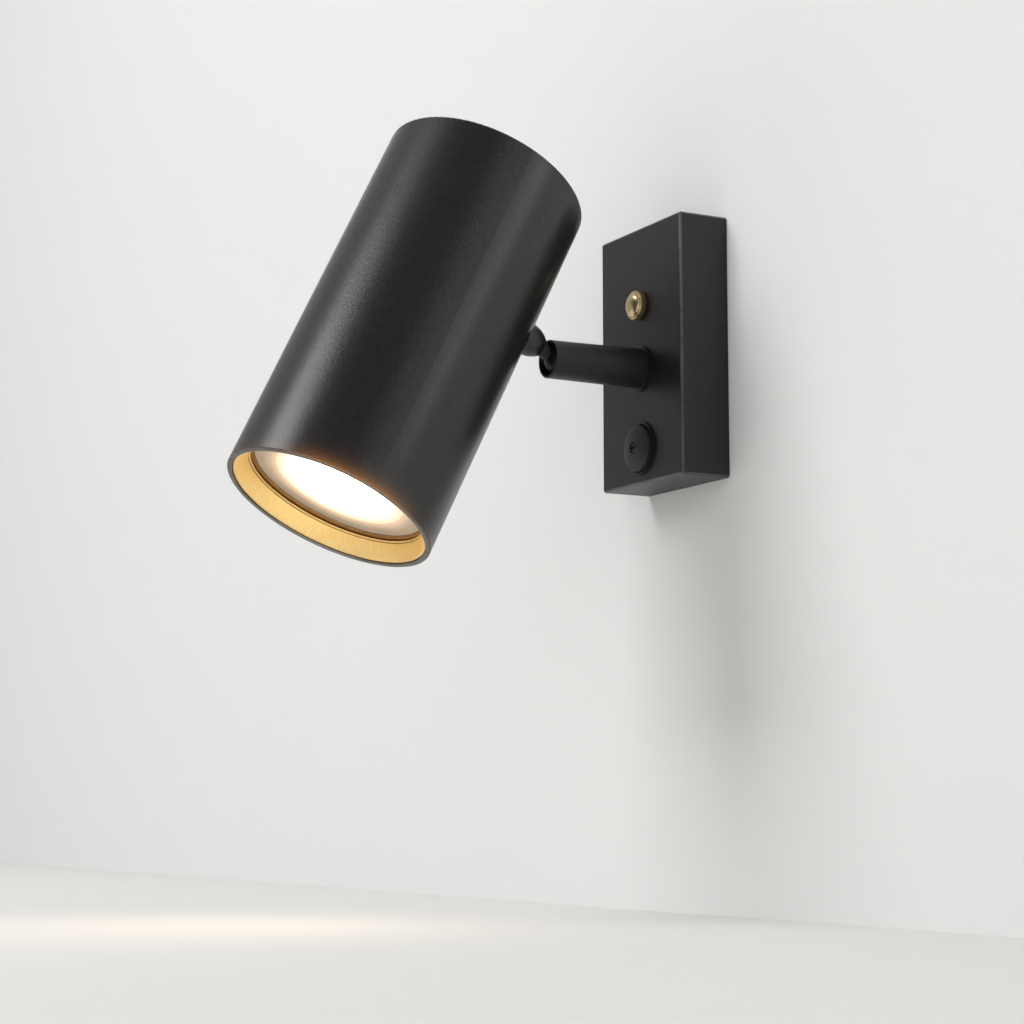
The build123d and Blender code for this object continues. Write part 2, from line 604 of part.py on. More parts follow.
def button_cap():
    skirt_end = BASE_DEPTH - BUTTON_SKIRT
    body = rod(BUTTON_RADIUS, skirt_end, BUTTON_RIM)
    sphere_radius = (BUTTON_RADIUS ** 2 + BUTTON_DOME_HEIGHT ** 2) / (2 * BUTTON_DOME_HEIGHT)
    ball = Pos(0, 0, BUTTON_APEX - sphere_radius) * Sphere(sphere_radius)
    body += ball & block(2 * BUTTON_RADIUS, 2 * BUTTON_RADIUS, BUTTON_RIM, BUTTON_APEX)
    circles = body.edges().filter_by(GeomType.CIRCLE)
    rim = [edge for edge in circles if abs(edge.center().Z - BUTTON_RIM) < SEAT_CLEARANCE]
    body = fillet(rim, BUTTON_EDGE_RADIUS)
    body -= rod(BUTTON_RADIUS - BUTTON_WALL, skirt_end, BUTTON_CROWN)
    body -= rod(DIMPLE_RADIUS, BUTTON_APEX - DIMPLE_DEPTH, BUTTON_APEX)
    body -= rod(BUTTON_SCREW_RADIUS + THREAD_CLEARANCE, BUTTON_CROWN, BUTTON_APEX)
    return Pos(0, BUTTON_HEIGHT, 0) * body


def button_screw():
    seat = BUTTON_APEX - DIMPLE_DEPTH
    head = slotted_head(BUTTON_SCREW_HEAD_RADIUS, seat, seat + BUTTON_SCREW_HEAD_HEIGHT)
    shank = rod(BUTTON_SCREW_RADIUS, BUTTON_CROWN - BUTTON_SCREW_REACH, seat)
    return Pos(0, BUTTON_HEIGHT, 0) * (head + shank)


def button_plunger():
    clip_back = SWITCH_BACK - CLIP_GAP - CLIP_THICKNESS
    hole_end = BUTTON_CROWN - BUTTON_SCREW_REACH - HOLE_CLEARANCE
    body = rod(PLUNGER_RADIUS, clip_back - PLUNGER_TAIL, BUTTON_CROWN)
    body -= rod(BUTTON_SCREW_RADIUS + THREAD_CLEARANCE, hole_end, BUTTON_CROWN)
    return Pos(0, BUTTON_HEIGHT, 0) * body


def plunger_clip():
    clip_front = SWITCH_BACK - CLIP_GAP
    inner = PLUNGER_RADIUS + THREAD_CLEARANCE
    return ring(inner, inner + CLIP_WIDTH, clip_front - CLIP_THICKNESS, clip_front, (0, BUTTON_HEIGHT))


# ---------------------------------------------------------------- arm pieces, on the arm's axis
def arm_tube():
    half = math.asin(LIP_AHEAD / ARM_BORE_RADIUS) / 2
    on_socket = (ARM_BORE_RADIUS * math.cos(half), 0, BALL_OUT + ARM_BORE_RADIUS * math.sin(half))
    lip = (LIP_RADIUS, 0, BALL_OUT + LIP_AHEAD)
    outline = Polyline(
        lip, (ARM_MOUTH_BORE_RADIUS, 0, ARM_END), (ARM_MOUTH_RADIUS, 0, ARM_END),
        (ARM_ROOT_RADIUS, 0, ARM_START), (ARM_BORE_RADIUS, 0, ARM_START), (ARM_BORE_RADIUS, 0, BALL_OUT))
    socket = ThreePointArc((ARM_BORE_RADIUS, 0, BALL_OUT), on_socket, lip)
    tube = revolve(make_face([outline, socket]), Axis.Z, 360)
    mouth = tube.faces().sort_by(Axis.Z)[-1].edges().sort_by(SortBy.RADIUS)[-1]
    return fillet(mouth, ARM_EDGE_RADIUS)


def arm_nipple():
    return ring(NIPPLE_RADIUS - NIPPLE_WALL, NIPPLE_RADIUS, NIPPLE_BACK, ARM_START + NIPPLE_REACH_IN_ARM)


def friction_washer():
    inner = NIPPLE_RADIUS + THREAD_CLEARANCE
    return ring(inner, NIPPLE_RADIUS + FRICTION_WASHER_WIDTH, FRICTION_WASHER_BACK, COLLAR_BACK)


def stop_washer():
    disc = rod(STOP_WASHER_RADIUS, STOP_WASHER_BACK, FRICTION_WASHER_BACK)
    tab_length = STOP_WASHER_RADIUS + STOP_TAB_REACH
    tab = block(STOP_TAB_WIDTH, tab_length, STOP_WASHER_BACK, FRICTION_WASHER_BACK, (0, tab_length / 2))
    return disc + tab - rod(NIPPLE_RADIUS + THREAD_CLEARANCE, STOP_WASHER_BACK, FRICTION_WASHER_BACK)


def wave_washer():
    inner = NIPPLE_RADIUS + THREAD_CLEARANCE
    return ring(inner, STOP_WASHER_RADIUS, WAVE_WASHER_BACK, STOP_WASHER_BACK)


def arm_nut():
    nut = hexagon(ARM_NUT_ACROSS_FLATS, ARM_NUT_BACK, WAVE_WASHER_BACK)
    return nut - rod(NIPPLE_RADIUS + THREAD_CLEARANCE, ARM_NUT_BACK, WAVE_WASHER_BACK)


def ball_seat():
    seat = ring(SEAT_BORE_RADIUS, ARM_BORE_RADIUS - SEAT_CLEARANCE, SEAT_BACK, SEAT_FRONT)
    return seat - Pos(0, 0, BALL_OUT) * Sphere(ARM_BORE_RADIUS)


def disc_springs():
    """Two coned washers, the hollow sides facing each other."""
    thick = DISC_SPRING_THICKNESS
    low = SPRINGS_BACK
    middle = low + thick + DISC_SPRING_RISE
    first = turned([
        (DISC_SPRING_INNER_RADIUS, low), (DISC_SPRING_OUTER_RADIUS, low + DISC_SPRING_RISE),
        (DISC_SPRING_OUTER_RADIUS, middle), (DISC_SPRING_INNER_RADIUS, low + thick),
    ])
    second = turned([
        (DISC_SPRING_INNER_RADIUS, SEAT_BACK - thick), (DISC_SPRING_OUTER_RADIUS, middle),
        (DISC_SPRING_OUTER_RADIUS, middle + thick), (DISC_SPRING_INNER_RADIUS, SEAT_BACK),
    ])
    return Compound([first, second])


def seat_plug():
    plug = ring(PLUG_BORE_RADIUS, ARM_BORE_RADIUS - THREAD_CLEARANCE, PLUG_BACK, SPRINGS_BACK)
    return plug - block(2 * ARM_BORE_RADIUS, PLUG_SLOT_WIDTH, PLUG_BACK, PLUG_BACK + PLUG_SLOT_DEPTH)


def arm_leads():
    low = NIPPLE_BACK + LEAD_END_GAP
    high = BALL_OUT - BALL_RADIUS - LEAD_END_GAP
    return Compound([rod(LEAD_RADIUS, low, high, (side * LEAD_OFFSET, 0)) for side in (-1, 1)])


# ---------------------------------------------------------------- ball and what is screwed onto its stem
def ball_stem():
    ball = Sphere(BALL_RADIUS) & block(2 * BALL_RADIUS, 2 * BALL_RADIUS, -BALL_BACK_FLAT, BALL_RADIUS)
    return ball + rod(STEM_RADIUS, 0, STEM_END) - rod(STEM_BORE_RADIUS, -BALL_RADIUS, STEM_END)


def stem_washer():
    return ring(STEM_RADIUS + THREAD_CLEARANCE, STEM_WASHER_RADIUS, LEG_FACE, STEM_WASHER_FACE)


def spring_washer():
    return ring(STEM_RADIUS + THREAD_CLEARANCE, SPRING_WASHER_RADIUS, STEM_WASHER_FACE, SPRING_WASHER_FACE)


def stem_nut():
    nut = hexagon(STEM_NUT_ACROSS_FLATS, SPRING_WASHER_FACE, STEM_NUT_FACE)
    return nut - rod(STEM_RADIUS + THREAD_CLEARANCE, SPRING_WASHER_FACE, STEM_NUT_FACE)


# ---------------------------------------------------------------- neck, in the stem frame
def shade_bar(radius):
    """The shade's round outline as a solid bar, in the stem frame."""
    return shade_on_stem(rod(radius, 0, SHADE_LENGTH))


def neck_dome():
    tip = NECK_LENGTH - DOME_LENGTH
    foot = NECK_LENGTH + DOME_FOOT
    mid_radius = (DOME_TIP_RADIUS + DOME_RADIUS) / 2 + DOME_BULGE
    mid_level = (tip + NECK_LENGTH) / 2 - DOME_BULGE
    tip_edge = (DOME_TIP_RADIUS, 0, tip)
    foot_edge = (DOME_RADIUS, 0, NECK_LENGTH)
    curve = ThreePointArc(tip_edge, (mid_radius, 0, mid_level), foot_edge)
    rest = Polyline(
        foot_edge, (DOME_RADIUS, 0, foot), (STEM_HOLE_RADIUS, 0, foot), (STEM_HOLE_RADIUS, 0, tip), tip_edge)
    dome = revolve(make_face([curve, rest]), Axis.Z, 360)
    return dome - shade_bar(SHADE_RADIUS)


def saddle_pad():
    pad = block(PAD_WIDTH, PAD_HEIGHT, NECK_LENGTH, PAD_FACE) & shade_bar(SHADE_BORE_RADIUS)
    return pad - rod(STEM_HOLE_RADIUS, NECK_LENGTH, PAD_FACE)


def holder_bracket():
    """An angle: one leg under the stem's nut, the other across the shade above the lampholder."""
    low = HOLDER_TOP_ON_STEM
    top = HOLDER_LEG_ABOVE_STEM
    upright = block(HOLDER_LEG_WIDTH, top - low, PAD_FACE, LEG_FACE, (0, (top + low) / 2))
    far = SHADE_AXIS_OUT + HOLDER_LEG_BEYOND_AXIS
    shelf = block(HOLDER_LEG_WIDTH, HOLDER_LEG_THICKNESS, PAD_FACE, far, (0, low + HOLDER_LEG_THICKNESS / 2))
    angle = upright + shelf - rod(STEM_HOLE_RADIUS, PAD_FACE, LEG_FACE)
    holes = []
    screw_hole_radius = HOLDER_SCREW_RADIUS + HOLE_CLEARANCE
    for side in (-1, 1):
        holes.append(rod(screw_hole_radius, HOLDER_TOP, leg_top(), (0, side * HOLDER_SCREW_OFFSET)))
        holes.append(rod(HOLDER_LEAD_HOLE_RADIUS, HOLDER_TOP, leg_top(), (side * HOLDER_LEAD_OFFSET, 0)))
    for hole in holes:
        angle -= shade_on_stem(hole)
    return angle


def head_leads():
    shelf = HOLDER_TOP_ON_STEM
    rise = shelf + HOLDER_LEG_THICKNESS + 3 * LEAD_BEND_RADIUS
    leads = []
    for side in (-1, 1):
        leads.append(lead([
            (side * LEAD_OFFSET, 0, -BALL_BACK_FLAT + 2 * LEAD_END_GAP),
            (side * LEAD_OFFSET, 0, STEM_END + LEAD_BEND_RADIUS),
            (side * HOLDER_LEAD_OFFSET, rise, SHADE_AXIS_OUT),
            (side * HOLDER_LEAD_OFFSET, shelf - HOLDER_LEAD_REACH + LEAD_END_GAP, SHADE_AXIS_OUT),
        ]))
    return Compound(leads)


# ---------------------------------------------------------------- shade and what it holds, in the shade frame
def leg_top():
    """Top of the bracket's leg that crosses the shade."""
    return HOLDER_TOP + HOLDER_LEG_THICKNESS


def shade():
    outer = rod(SHADE_RADIUS, 0, SHADE_LENGTH)
    outer = fillet(outer.faces().sort_by(Axis.Z)[-1].edges(), SHADE_TOP_EDGE_RADIUS)
    outer = fillet(outer.faces().sort_by(Axis.Z)[0].edges(), SHADE_MOUTH_EDGE_RADIUS)
    wall = outer - rod(SHADE_BORE_RADIUS, 0, SHADE_LENGTH - SHADE_WALL)
    stem_hole = Cylinder(STEM_HOLE_RADIUS, SHADE_RADIUS, align=(Align.CENTER, Align.CENTER, Align.MIN))
    return wall - Pos(0, 0, STEM_ABOVE_MOUTH) * Rot(-90, 0, 0) * stem_hole


def gold_ring():
    outer = SHADE_BORE_RADIUS - SEAT_CLEARANCE
    inner = SHADE_BORE_RADIUS - RING_WALL
    top = RING_SETBACK + RING_DEPTH
    lip = inner - RING_TAPER
    return turned([
        (inner, RING_SETBACK), (outer, RING_SETBACK), (outer, top), (lip, top), (lip, top - RING_LIP_DEPTH),
    ])


def lamp_body():
    face = LAMP_SETBACK
    body = turned([
        (0, face), (LAMP_FACE_RADIUS, face), (LAMP_FACE_RADIUS, face + LAMP_FACE_HEIGHT),
        (LAMP_WAIST_RADIUS, face + LAMP_WAIST_HEIGHT), (LAMP_BASE_RADIUS, LAMP_BASE), (0, LAMP_BASE),
    ])
    return body - rod(LENS_RADIUS + SEAT_CLEARANCE, face, face + LENS_THICKNESS)


def lamp_lens():
    face = LAMP_SETBACK
    sphere_radius = (LENS_RADIUS ** 2 + LENS_CROWN ** 2) / (2 * LENS_CROWN)
    crown = Pos(0, 0, face - LENS_CROWN + sphere_radius) * Sphere(sphere_radius)
    crown &= rod(LENS_RADIUS, face - 2 * LENS_CROWN, face)
    return crown + rod(LENS_RADIUS, face, face + LENS_THICKNESS)


def lamp_pins():
    end = LAMP_BASE + PIN_LENGTH
    head_low = end - PIN_HEAD_LENGTH
    pins = []
    for side in (-1, 1):
        place = (side * PIN_SPACING / 2, 0)
        pins.append(rod(PIN_RADIUS, LAMP_BASE, head_low, place) + rod(PIN_HEAD_RADIUS, head_low, end, place))
    return Compound(pins)


def lampholder():
    body = rod(HOLDER_RADIUS, LAMP_BASE, HOLDER_TOP)
    body = fillet(body.faces().sort_by(Axis.Z)[-1].edges(), HOLDER_EDGE_RADIUS)
    screw_hole_radius = HOLDER_SCREW_RADIUS + THREAD_CLEARANCE
    for side in (-1, 1):
        body -= rod(PIN_WELL_RADIUS, LAMP_BASE, LAMP_BASE + PIN_WELL_DEPTH, (side * PIN_SPACING / 2, 0))
        screw_place = (0, side * HOLDER_SCREW_OFFSET)
        body -= rod(screw_hole_radius, HOLDER_TOP - HOLDER_SCREW_REACH, HOLDER_TOP, screw_place)
        lead_place = (side * HOLDER_LEAD_OFFSET, 0)
        body -= rod(HOLDER_LEAD_HOLE_RADIUS, HOLDER_TOP - HOLDER_LEAD_REACH, HOLDER_TOP, lead_place)
    return body


def holder_screws():
    screws = []
    for side in (-1, 1):
        place = (0, side * HOLDER_SCREW_OFFSET)
        shank = rod(HOLDER_SCREW_RADIUS, HOLDER_TOP - HOLDER_SCREW_REACH + THREAD_CLEARANCE, leg_top(), place)
        head = slotted_head(HOLDER_SCREW_HEAD_RADIUS, leg_top(), leg_top() + HOLDER_SCREW_HEAD_HEIGHT, place)
        screws.append(shank + head)
    return Compound(screws)


# ---------------------------------------------------------------- the whole light
PIECES = [
    (from_face, [
        wall_bracket, base_cover, cable_bush, earth_screw, earth_washer, bracket_stud, nut_washer, cap_nut,
        terminal_block, terminal_screws, base_leads, arm_collar, collar_nut, stop_pin,
        switch_housing, switch_screws, switch_contacts, button_bezel, button_spring,
        button_cap, button_screw, button_plunger, plunger_clip,
    ]),
    (from_arm, [
        arm_tube, arm_nipple, friction_washer, stop_washer, wave_washer, arm_nut,
        ball_seat, disc_springs, seat_plug, arm_leads,
    ]),
    (from_stem, [
        ball_stem, stem_washer, spring_washer, stem_nut, neck_dome, saddle_pad, holder_bracket, head_leads,
    ]),
    (from_shade, [
        shade, gold_ring, lamp_body, lamp_lens, lamp_pins, lampholder, holder_screws,
    ]),
]

os.makedirs("parts", exist_ok=True)
for place, makers in PIECES:
    for maker in makers:
        export_step(place(maker()), os.path.join("parts", maker.__name__ + ".step"))
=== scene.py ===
"""Pivoting spotlight wall light: finishes, small fittings, room and light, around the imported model.

Metres, +Z up, +Y into the wall, +X to the right for someone who faces the wall.
The origin is the centre of the base's back face.
"""
import bpy
import json
import math
from mathutils import Matrix, Vector


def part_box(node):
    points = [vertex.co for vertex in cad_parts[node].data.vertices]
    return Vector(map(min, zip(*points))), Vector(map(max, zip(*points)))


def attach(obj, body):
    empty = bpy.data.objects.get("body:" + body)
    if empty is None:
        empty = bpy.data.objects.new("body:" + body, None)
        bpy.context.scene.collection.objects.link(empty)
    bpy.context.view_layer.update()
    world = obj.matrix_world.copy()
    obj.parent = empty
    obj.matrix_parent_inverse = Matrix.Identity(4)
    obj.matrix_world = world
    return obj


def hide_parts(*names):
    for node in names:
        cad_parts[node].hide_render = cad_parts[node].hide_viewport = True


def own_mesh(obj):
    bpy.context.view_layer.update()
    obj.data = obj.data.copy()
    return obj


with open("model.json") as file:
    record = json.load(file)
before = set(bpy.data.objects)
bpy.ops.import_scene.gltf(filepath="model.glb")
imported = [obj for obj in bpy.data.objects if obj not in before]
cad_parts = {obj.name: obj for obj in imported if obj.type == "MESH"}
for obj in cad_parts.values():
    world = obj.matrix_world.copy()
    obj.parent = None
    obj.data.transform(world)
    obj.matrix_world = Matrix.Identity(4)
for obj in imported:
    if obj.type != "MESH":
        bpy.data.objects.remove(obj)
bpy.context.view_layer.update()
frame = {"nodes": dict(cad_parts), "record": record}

MM = 0.001

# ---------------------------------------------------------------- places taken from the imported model
BASE_WIDTH, BASE_HEIGHT, BASE_DEPTH = 0.045, 0.077, 0.016
SHADE_RADIUS = 0.030
BALL_CENTRE = Vector((0.0, -0.0437, -0.0042))
SWIVEL = math.radians(4.0)
TILT = math.radians(27.3)
SHADE_AXIS_OUT = 0.0428
STEM_ABOVE_MOUTH = 0.077
NUT_HEIGHT = 0.0148
BUTTON_HEIGHT = -0.0280
SPRING_BACK = -0.0065
SPRING_FRONT = -0.0162

# the lamp, in millimetres from the mouth and from the shade's axis
LAMP_SETBACK = 7.3
LENS_RADIUS = 18.8

# the lens's light by distance in from its edge, in millimetres, and its strengths there
WHITE_ENDS, WARM_STARTS, DIM_STARTS, LENS_EDGE = 9.0, 5.0, 4.0, 0.1
WHITE_STRENGTH, DIM_STRENGTH, EDGE_STRENGTH = 10.0, 1.35, 0.66

# how far the lamp's shell glows outside the lens, in millimetres, and its strengths
SHELL_GLOW_REACH = 4.2
SHELL_GLOW, SHELL_GLOW_ALL_OVER = 0.50, 0.05

# a powder coat's relief: the shares of its skin and its grains, and the skin's scale beside the grains'
PEEL_SHARE, GRAIN_SHARE = 0.45, 0.55
PEEL_SCALE = 0.45

# the gold sleeve's section, in millimetres: a radius inside its wall, and heights above the mouth
SLEEVE_MIDDLE = 27.0
LOWER_GROOVE = (5.28, 5.48)
UPPER_GROOVE = (6.12, 6.50)
SLEEVE_SEAT = (6.56, 7.20)

# the cap nut, in millimetres: a radius inside its section, and the crown's foot, top and radius
NUT_SECTION_MIDDLE = 2.0
CROWN_FOOT, CROWN_TOP, CROWN_RADIUS = 1.84, 3.50, 3.68
CROWN_STEPS = 14
NUT_SIDE_MIDDLE = 0.92

# the arm's frame: z out along the arm, y up
FACE_TURN = Matrix.Rotation(math.radians(90), 4, "X")
ARM_TURN = FACE_TURN @ Matrix.Rotation(SWIVEL, 4, "Z")
STEM_TURN = ARM_TURN @ Matrix.Rotation(-TILT, 4, "X")
STEM_FRAME = Matrix.Translation(BALL_CENTRE) @ STEM_TURN
SHADE_FRAME = (STEM_FRAME @ Matrix.Translation((0, -STEM_ABOVE_MOUTH, SHADE_AXIS_OUT))
               @ Matrix.Rotation(math.radians(-90), 4, "X"))
MOUTH = SHADE_FRAME.translation
SHADE_UP = (SHADE_FRAME.to_3x3() @ Vector((0, 0, 1))).normalized()


# ---------------------------------------------------------------- building materials
class Finish:
    """A node material with a Principled shader, and short ways to add what drives it."""

    def __init__(self, name, **settings):
        self.material = bpy.data.materials.new(name)
        self.material.use_nodes = True
        self.tree = self.material.node_tree
        self.shader = self.tree.nodes["Principled BSDF"]
        self.output = self.tree.nodes["Material Output"]
        for socket, value in settings.items():
            self.shader.inputs[socket.replace("_", " ")].default_value = value

    def add(self, kind, settings=None, **inputs):
        """A new node; each input is a constant or an output socket of another node."""
        node = self.tree.nodes.new(kind)
        for key, value in (settings or {}).items():
            setattr(node, key, value)
        for key, value in inputs.items():
            self.feed(node.inputs[key.replace("_", " ")], value)
        return node

    def feed(self, socket, value):
        """Links an output socket to an input, or sets the input to a constant."""
        if isinstance(value, bpy.types.NodeSocket):
            self.tree.links.new(value, socket)
        else:
            socket.default_value = value

    def place(self, frame_matrix=None):
        """Object coordinates, in millimetres, read in a frame of the light."""
        coords = self.add("ShaderNodeTexCoord").outputs["Object"]
        if frame_matrix is not None:
            inverse = frame_matrix.inverted()
            turned = self.add("ShaderNodeMapping", {"vector_type": "POINT"}, Vector=coords,
                              Location=inverse.translation, Rotation=inverse.to_euler())
            coords = turned.outputs["Vector"]
        scaled = self.add("ShaderNodeVectorMath", {"operation": "SCALE"}, Vector=coords, Scale=1000.0)
        return scaled.outputs["Vector"]

    def stretch(self, coords, factors):
        """Coordinates scaled by a factor on each axis."""
        return self.add("ShaderNodeMapping", {"vector_type": "POINT"}, Vector=coords,
                        Scale=factors).outputs["Vector"]

    def noise(self, coords, scale, detail=3.0, roughness=0.55):
        """Fractal noise between nothing and one."""
        return self.add("ShaderNodeTexNoise", None, Vector=coords, Scale=scale, Detail=detail,
                        Roughness=roughness).outputs["Fac"]

    def levels(self, value, low, high, to_low=0.0, to_high=1.0, smooth=False):
        """A value between low and high moved to the range between to_low and to_high, and clamped."""
        kind = "SMOOTHSTEP" if smooth else "LINEAR"
        node = self.add("ShaderNodeMapRange", {"interpolation_type": kind, "clamp": True}, Value=value)
        for key, number in (("From Min", low), ("From Max", high), ("To Min", to_low), ("To Max", to_high)):
            self.feed(node.inputs[key], number)
        return node.outputs["Result"]

    def sums(self, operation, first, second=0.0):
        """One step of arithmetic on two values."""
        node = self.add("ShaderNodeMath", {"operation": operation})
        self.feed(node.inputs[0], first)
        self.feed(node.inputs[1], second)
        return node.outputs["Value"]

    def blend(self, factor, first, second):
        """Two colours mixed by a factor."""
        node = self.add("ShaderNodeMix", {"data_type": "RGBA"})
        self.feed(node.inputs[0], factor)
        self.feed(node.inputs[6], first)
        self.feed(node.inputs[7], second)
        return node.outputs[2]

    def bump(self, height, strength, distance):
        """A normal that leans with a height; the distance is that of a height of one, in metres."""
        node = self.add("ShaderNodeBump", None, Strength=strength, Distance=distance, Height=height)
        return node.outputs["Normal"]

    def set(self, **inputs):
        """Sets or links inputs of the shader; _ stands for a space in their names."""
        for key, value in inputs.items():
            self.feed(self.shader.inputs[key.replace("_", " ")], value)

    def radius(self, x, y):
        """The distance from the frame's z axis."""
        return self.sums("SQRT", self.sums("ADD", self.sums("MULTIPLY", x, x),
                                           self.sums("MULTIPLY", y, y)))

    def band(self, value, low, high, soft):
        """One between low and high, falling to nothing over the soft width on both sides."""
        return self.sums("MULTIPLY", self.levels(value, low - soft, low),
                         self.levels(value, high, high + soft, 1.0, 0.0))

    def split(self, coords):
        """The three parts of a vector."""
        node = self.add("ShaderNodeSeparateXYZ", None, Vector=coords)
        return node.outputs["X"], node.outputs["Y"], node.outputs["Z"]


# how far the cover's coat is rubbed, and painted with a highlight, from its edges, and the glow painted on
# the shade's coat over the rim, in millimetres
EDGE_RUB_AND_HIGHLIGHT = 0.9
PAINTED_GLOW_REACH = 1.6
PAINTED_GLOW_SIDE = math.radians(-12)
PAINTED_GLOW_STRENGTH = 0.26
PAINTED_GLOW_ALL_ROUND = 0.12


def powder_coat(name, colour, roughness, grain_size, grain_depth, specular=0.5, fleck=1.5):
    """Baked powder coat: an orange-peel skin over fine grains, the higher ones a little lighter.

    The grain's size and depth are in millimetres. Returns the finish, so that more can be added.
    """
    finish = Finish(name, Metallic=0.0, Specular_IOR_Level=specular)
    coords = finish.place()
    peel = finish.noise(coords, PEEL_SCALE / grain_size, detail=1.0, roughness=0.5)
    grain = finish.noise(coords, 1.0 / grain_size, detail=2.0, roughness=0.5)
    handling = finish.noise(coords, 0.05, detail=4.0, roughness=0.6)
    height = finish.sums("ADD", finish.sums("MULTIPLY", peel, PEEL_SHARE),
                         finish.sums("MULTIPLY", grain, GRAIN_SHARE))
    lighter = tuple(c * fleck for c in colour[:3]) + (1.0,)
    finish.set(Base_Color=finish.blend(finish.levels(grain, 0.42, 0.62), colour, lighter),
               Roughness=finish.levels(handling, 0.3, 0.7, roughness - 0.02, roughness + 0.03),
               Normal=finish.bump(height, 1.0, grain_depth * MM))
    return finish


def cover_coat(name, colour, roughness, grain_size, grain_depth):
    """The cover's coat, painted lighter along the edges of the box: partly rubbed wear, partly a painted
    highlight.
    """
    finish = powder_coat(name, colour, roughness, grain_size, grain_depth)
    x, y, z = finish.split(finish.place())
    half_width, half_height, depth = BASE_WIDTH / MM / 2, BASE_HEIGHT / MM / 2, BASE_DEPTH / MM
    sides = finish.levels(finish.sums("ABSOLUTE", x), half_width - EDGE_RUB_AND_HIGHLIGHT, half_width)
    ends = finish.levels(finish.sums("ABSOLUTE", z), half_height - EDGE_RUB_AND_HIGHLIGHT, half_height)
    front = finish.levels(y, EDGE_RUB_AND_HIGHLIGHT - depth, -depth)
    # painted highlight: the edges of the box are painted lighter, partly as wear on the coat
    rubbed_and_highlit = finish.sums("MAXIMUM", finish.sums("MULTIPLY", sides, front),
                         finish.sums("MULTIPLY", ends, front))
    rubbed_and_highlit = finish.sums("MAXIMUM", rubbed_and_highlit, finish.sums("MULTIPLY", sides, ends))
    patchy = finish.levels(finish.noise(finish.place(), 0.35, detail=3.0), 0.3, 0.6, 0.55, 1.0)
    rubbed_and_highlit = finish.sums("MULTIPLY", finish.levels(rubbed_and_highlit, 0.08, 0.45), patchy)
    coat = finish.shader.inputs["Base Color"].links[0].from_socket
    finish.set(Base_Color=finish.blend(rubbed_and_highlit, coat, (0.085, 0.083, 0.080, 1)))
    return finish


def shade_coat(name, colour, roughness, grain_size, grain_depth):
    """The shade's coat, lighter on the mouth's lip; a warm glow is painted on its outside over the mouth's
    rim, most on its front side.
    """
    finish = powder_coat(name, colour, roughness, grain_size, grain_depth, fleck=2.6)
    coords = finish.place(SHADE_FRAME)
    x, y, z = finish.split(coords)
    radius = finish.radius(x, y)
    patchy = finish.levels(finish.noise(coords, 0.4, detail=3.0), 0.3, 0.6, 0.6, 1.0)
    lip = finish.sums("MULTIPLY", finish.levels(z, 0.05, 0.5, 1.0, 0.0), patchy)
    coat = finish.shader.inputs["Base Color"].links[0].from_socket
    finish.set(Base_Color=finish.blend(lip, coat, (0.085, 0.075, 0.063, 1)))
    # painted glow: the coat emits warm light near the rim, falling off away from it, strongest on one side
    falling = finish.sums("EXPONENT", finish.sums("DIVIDE", z, -PAINTED_GLOW_REACH))
    outside = finish.levels(radius, SHADE_RADIUS / MM - 0.6, SHADE_RADIUS / MM - 0.1)
    facing = finish.sums("ADD", finish.sums("MULTIPLY", x, math.cos(PAINTED_GLOW_SIDE) * MM / SHADE_RADIUS),
                         finish.sums("MULTIPLY", y, math.sin(PAINTED_GLOW_SIDE) * MM / SHADE_RADIUS))
    painted_glow = finish.sums("MULTIPLY", finish.sums("MULTIPLY", falling, outside),
                        finish.levels(facing, 0.70, 1.0, PAINTED_GLOW_ALL_ROUND, 1.0, smooth=True))
    finish.set(Emission_Color=(1.0, 0.40, 0.09, 1),
               Emission_Strength=finish.sums("MULTIPLY", painted_glow, PAINTED_GLOW_STRENGTH))
    return finish


def zinc_plate(name):
    """Zinc plated sheet steel: rolling streaks, a faint warm and cool passivation tint."""
    finish = Finish(name, Metallic=1.0)
    coords = finish.place()
    streaks = finish.noise(finish.stretch(coords, (0.25, 0.25, 4.0)), 2.2, detail=4.0)
    clouds = finish.noise(coords, 0.12, detail=3.0)
    tint = finish.blend(finish.levels(clouds, 0.35, 0.65), (0.56, 0.57, 0.58, 1), (0.66, 0.63, 0.55, 1))
    shade = finish.blend(finish.levels(streaks, 0.3, 0.7, 0.0, 0.35), tint, (0.42, 0.43, 0.45, 1))
    finish.set(Base_Color=shade, Roughness=finish.levels(streaks, 0.3, 0.7, 0.28, 0.42),
               Normal=finish.bump(streaks, 0.4, 0.02 * MM))
    return finish.material


def turned_brass(name, frame_matrix, colour, dark, roughness):
    """Turned and lacquered brass, gone brown where it isn't touched."""
    finish = Finish(name, Metallic=1.0)
    coords = finish.place(frame_matrix)
    age = finish.noise(coords, 0.55, detail=4.0, roughness=0.6)
    fine = finish.noise(coords, 5.0, detail=2.0)
    tone = finish.blend(finish.levels(age, 0.35, 0.75, 0.0, 0.6), colour, dark)
    x, y, z = finish.split(coords)
    lines = finish.sums("SINE", finish.sums("MULTIPLY", finish.sums("ADD", finish.radius(x, y), z), 30.0))
    relief = finish.sums("ADD", finish.sums("MULTIPLY", lines, 0.2), fine)
    finish.set(Base_Color=tone, Roughness=finish.levels(age, 0.3, 0.75, roughness, roughness + 0.12),
               Normal=finish.bump(relief, 0.3, 0.006 * MM))
    return finish.material


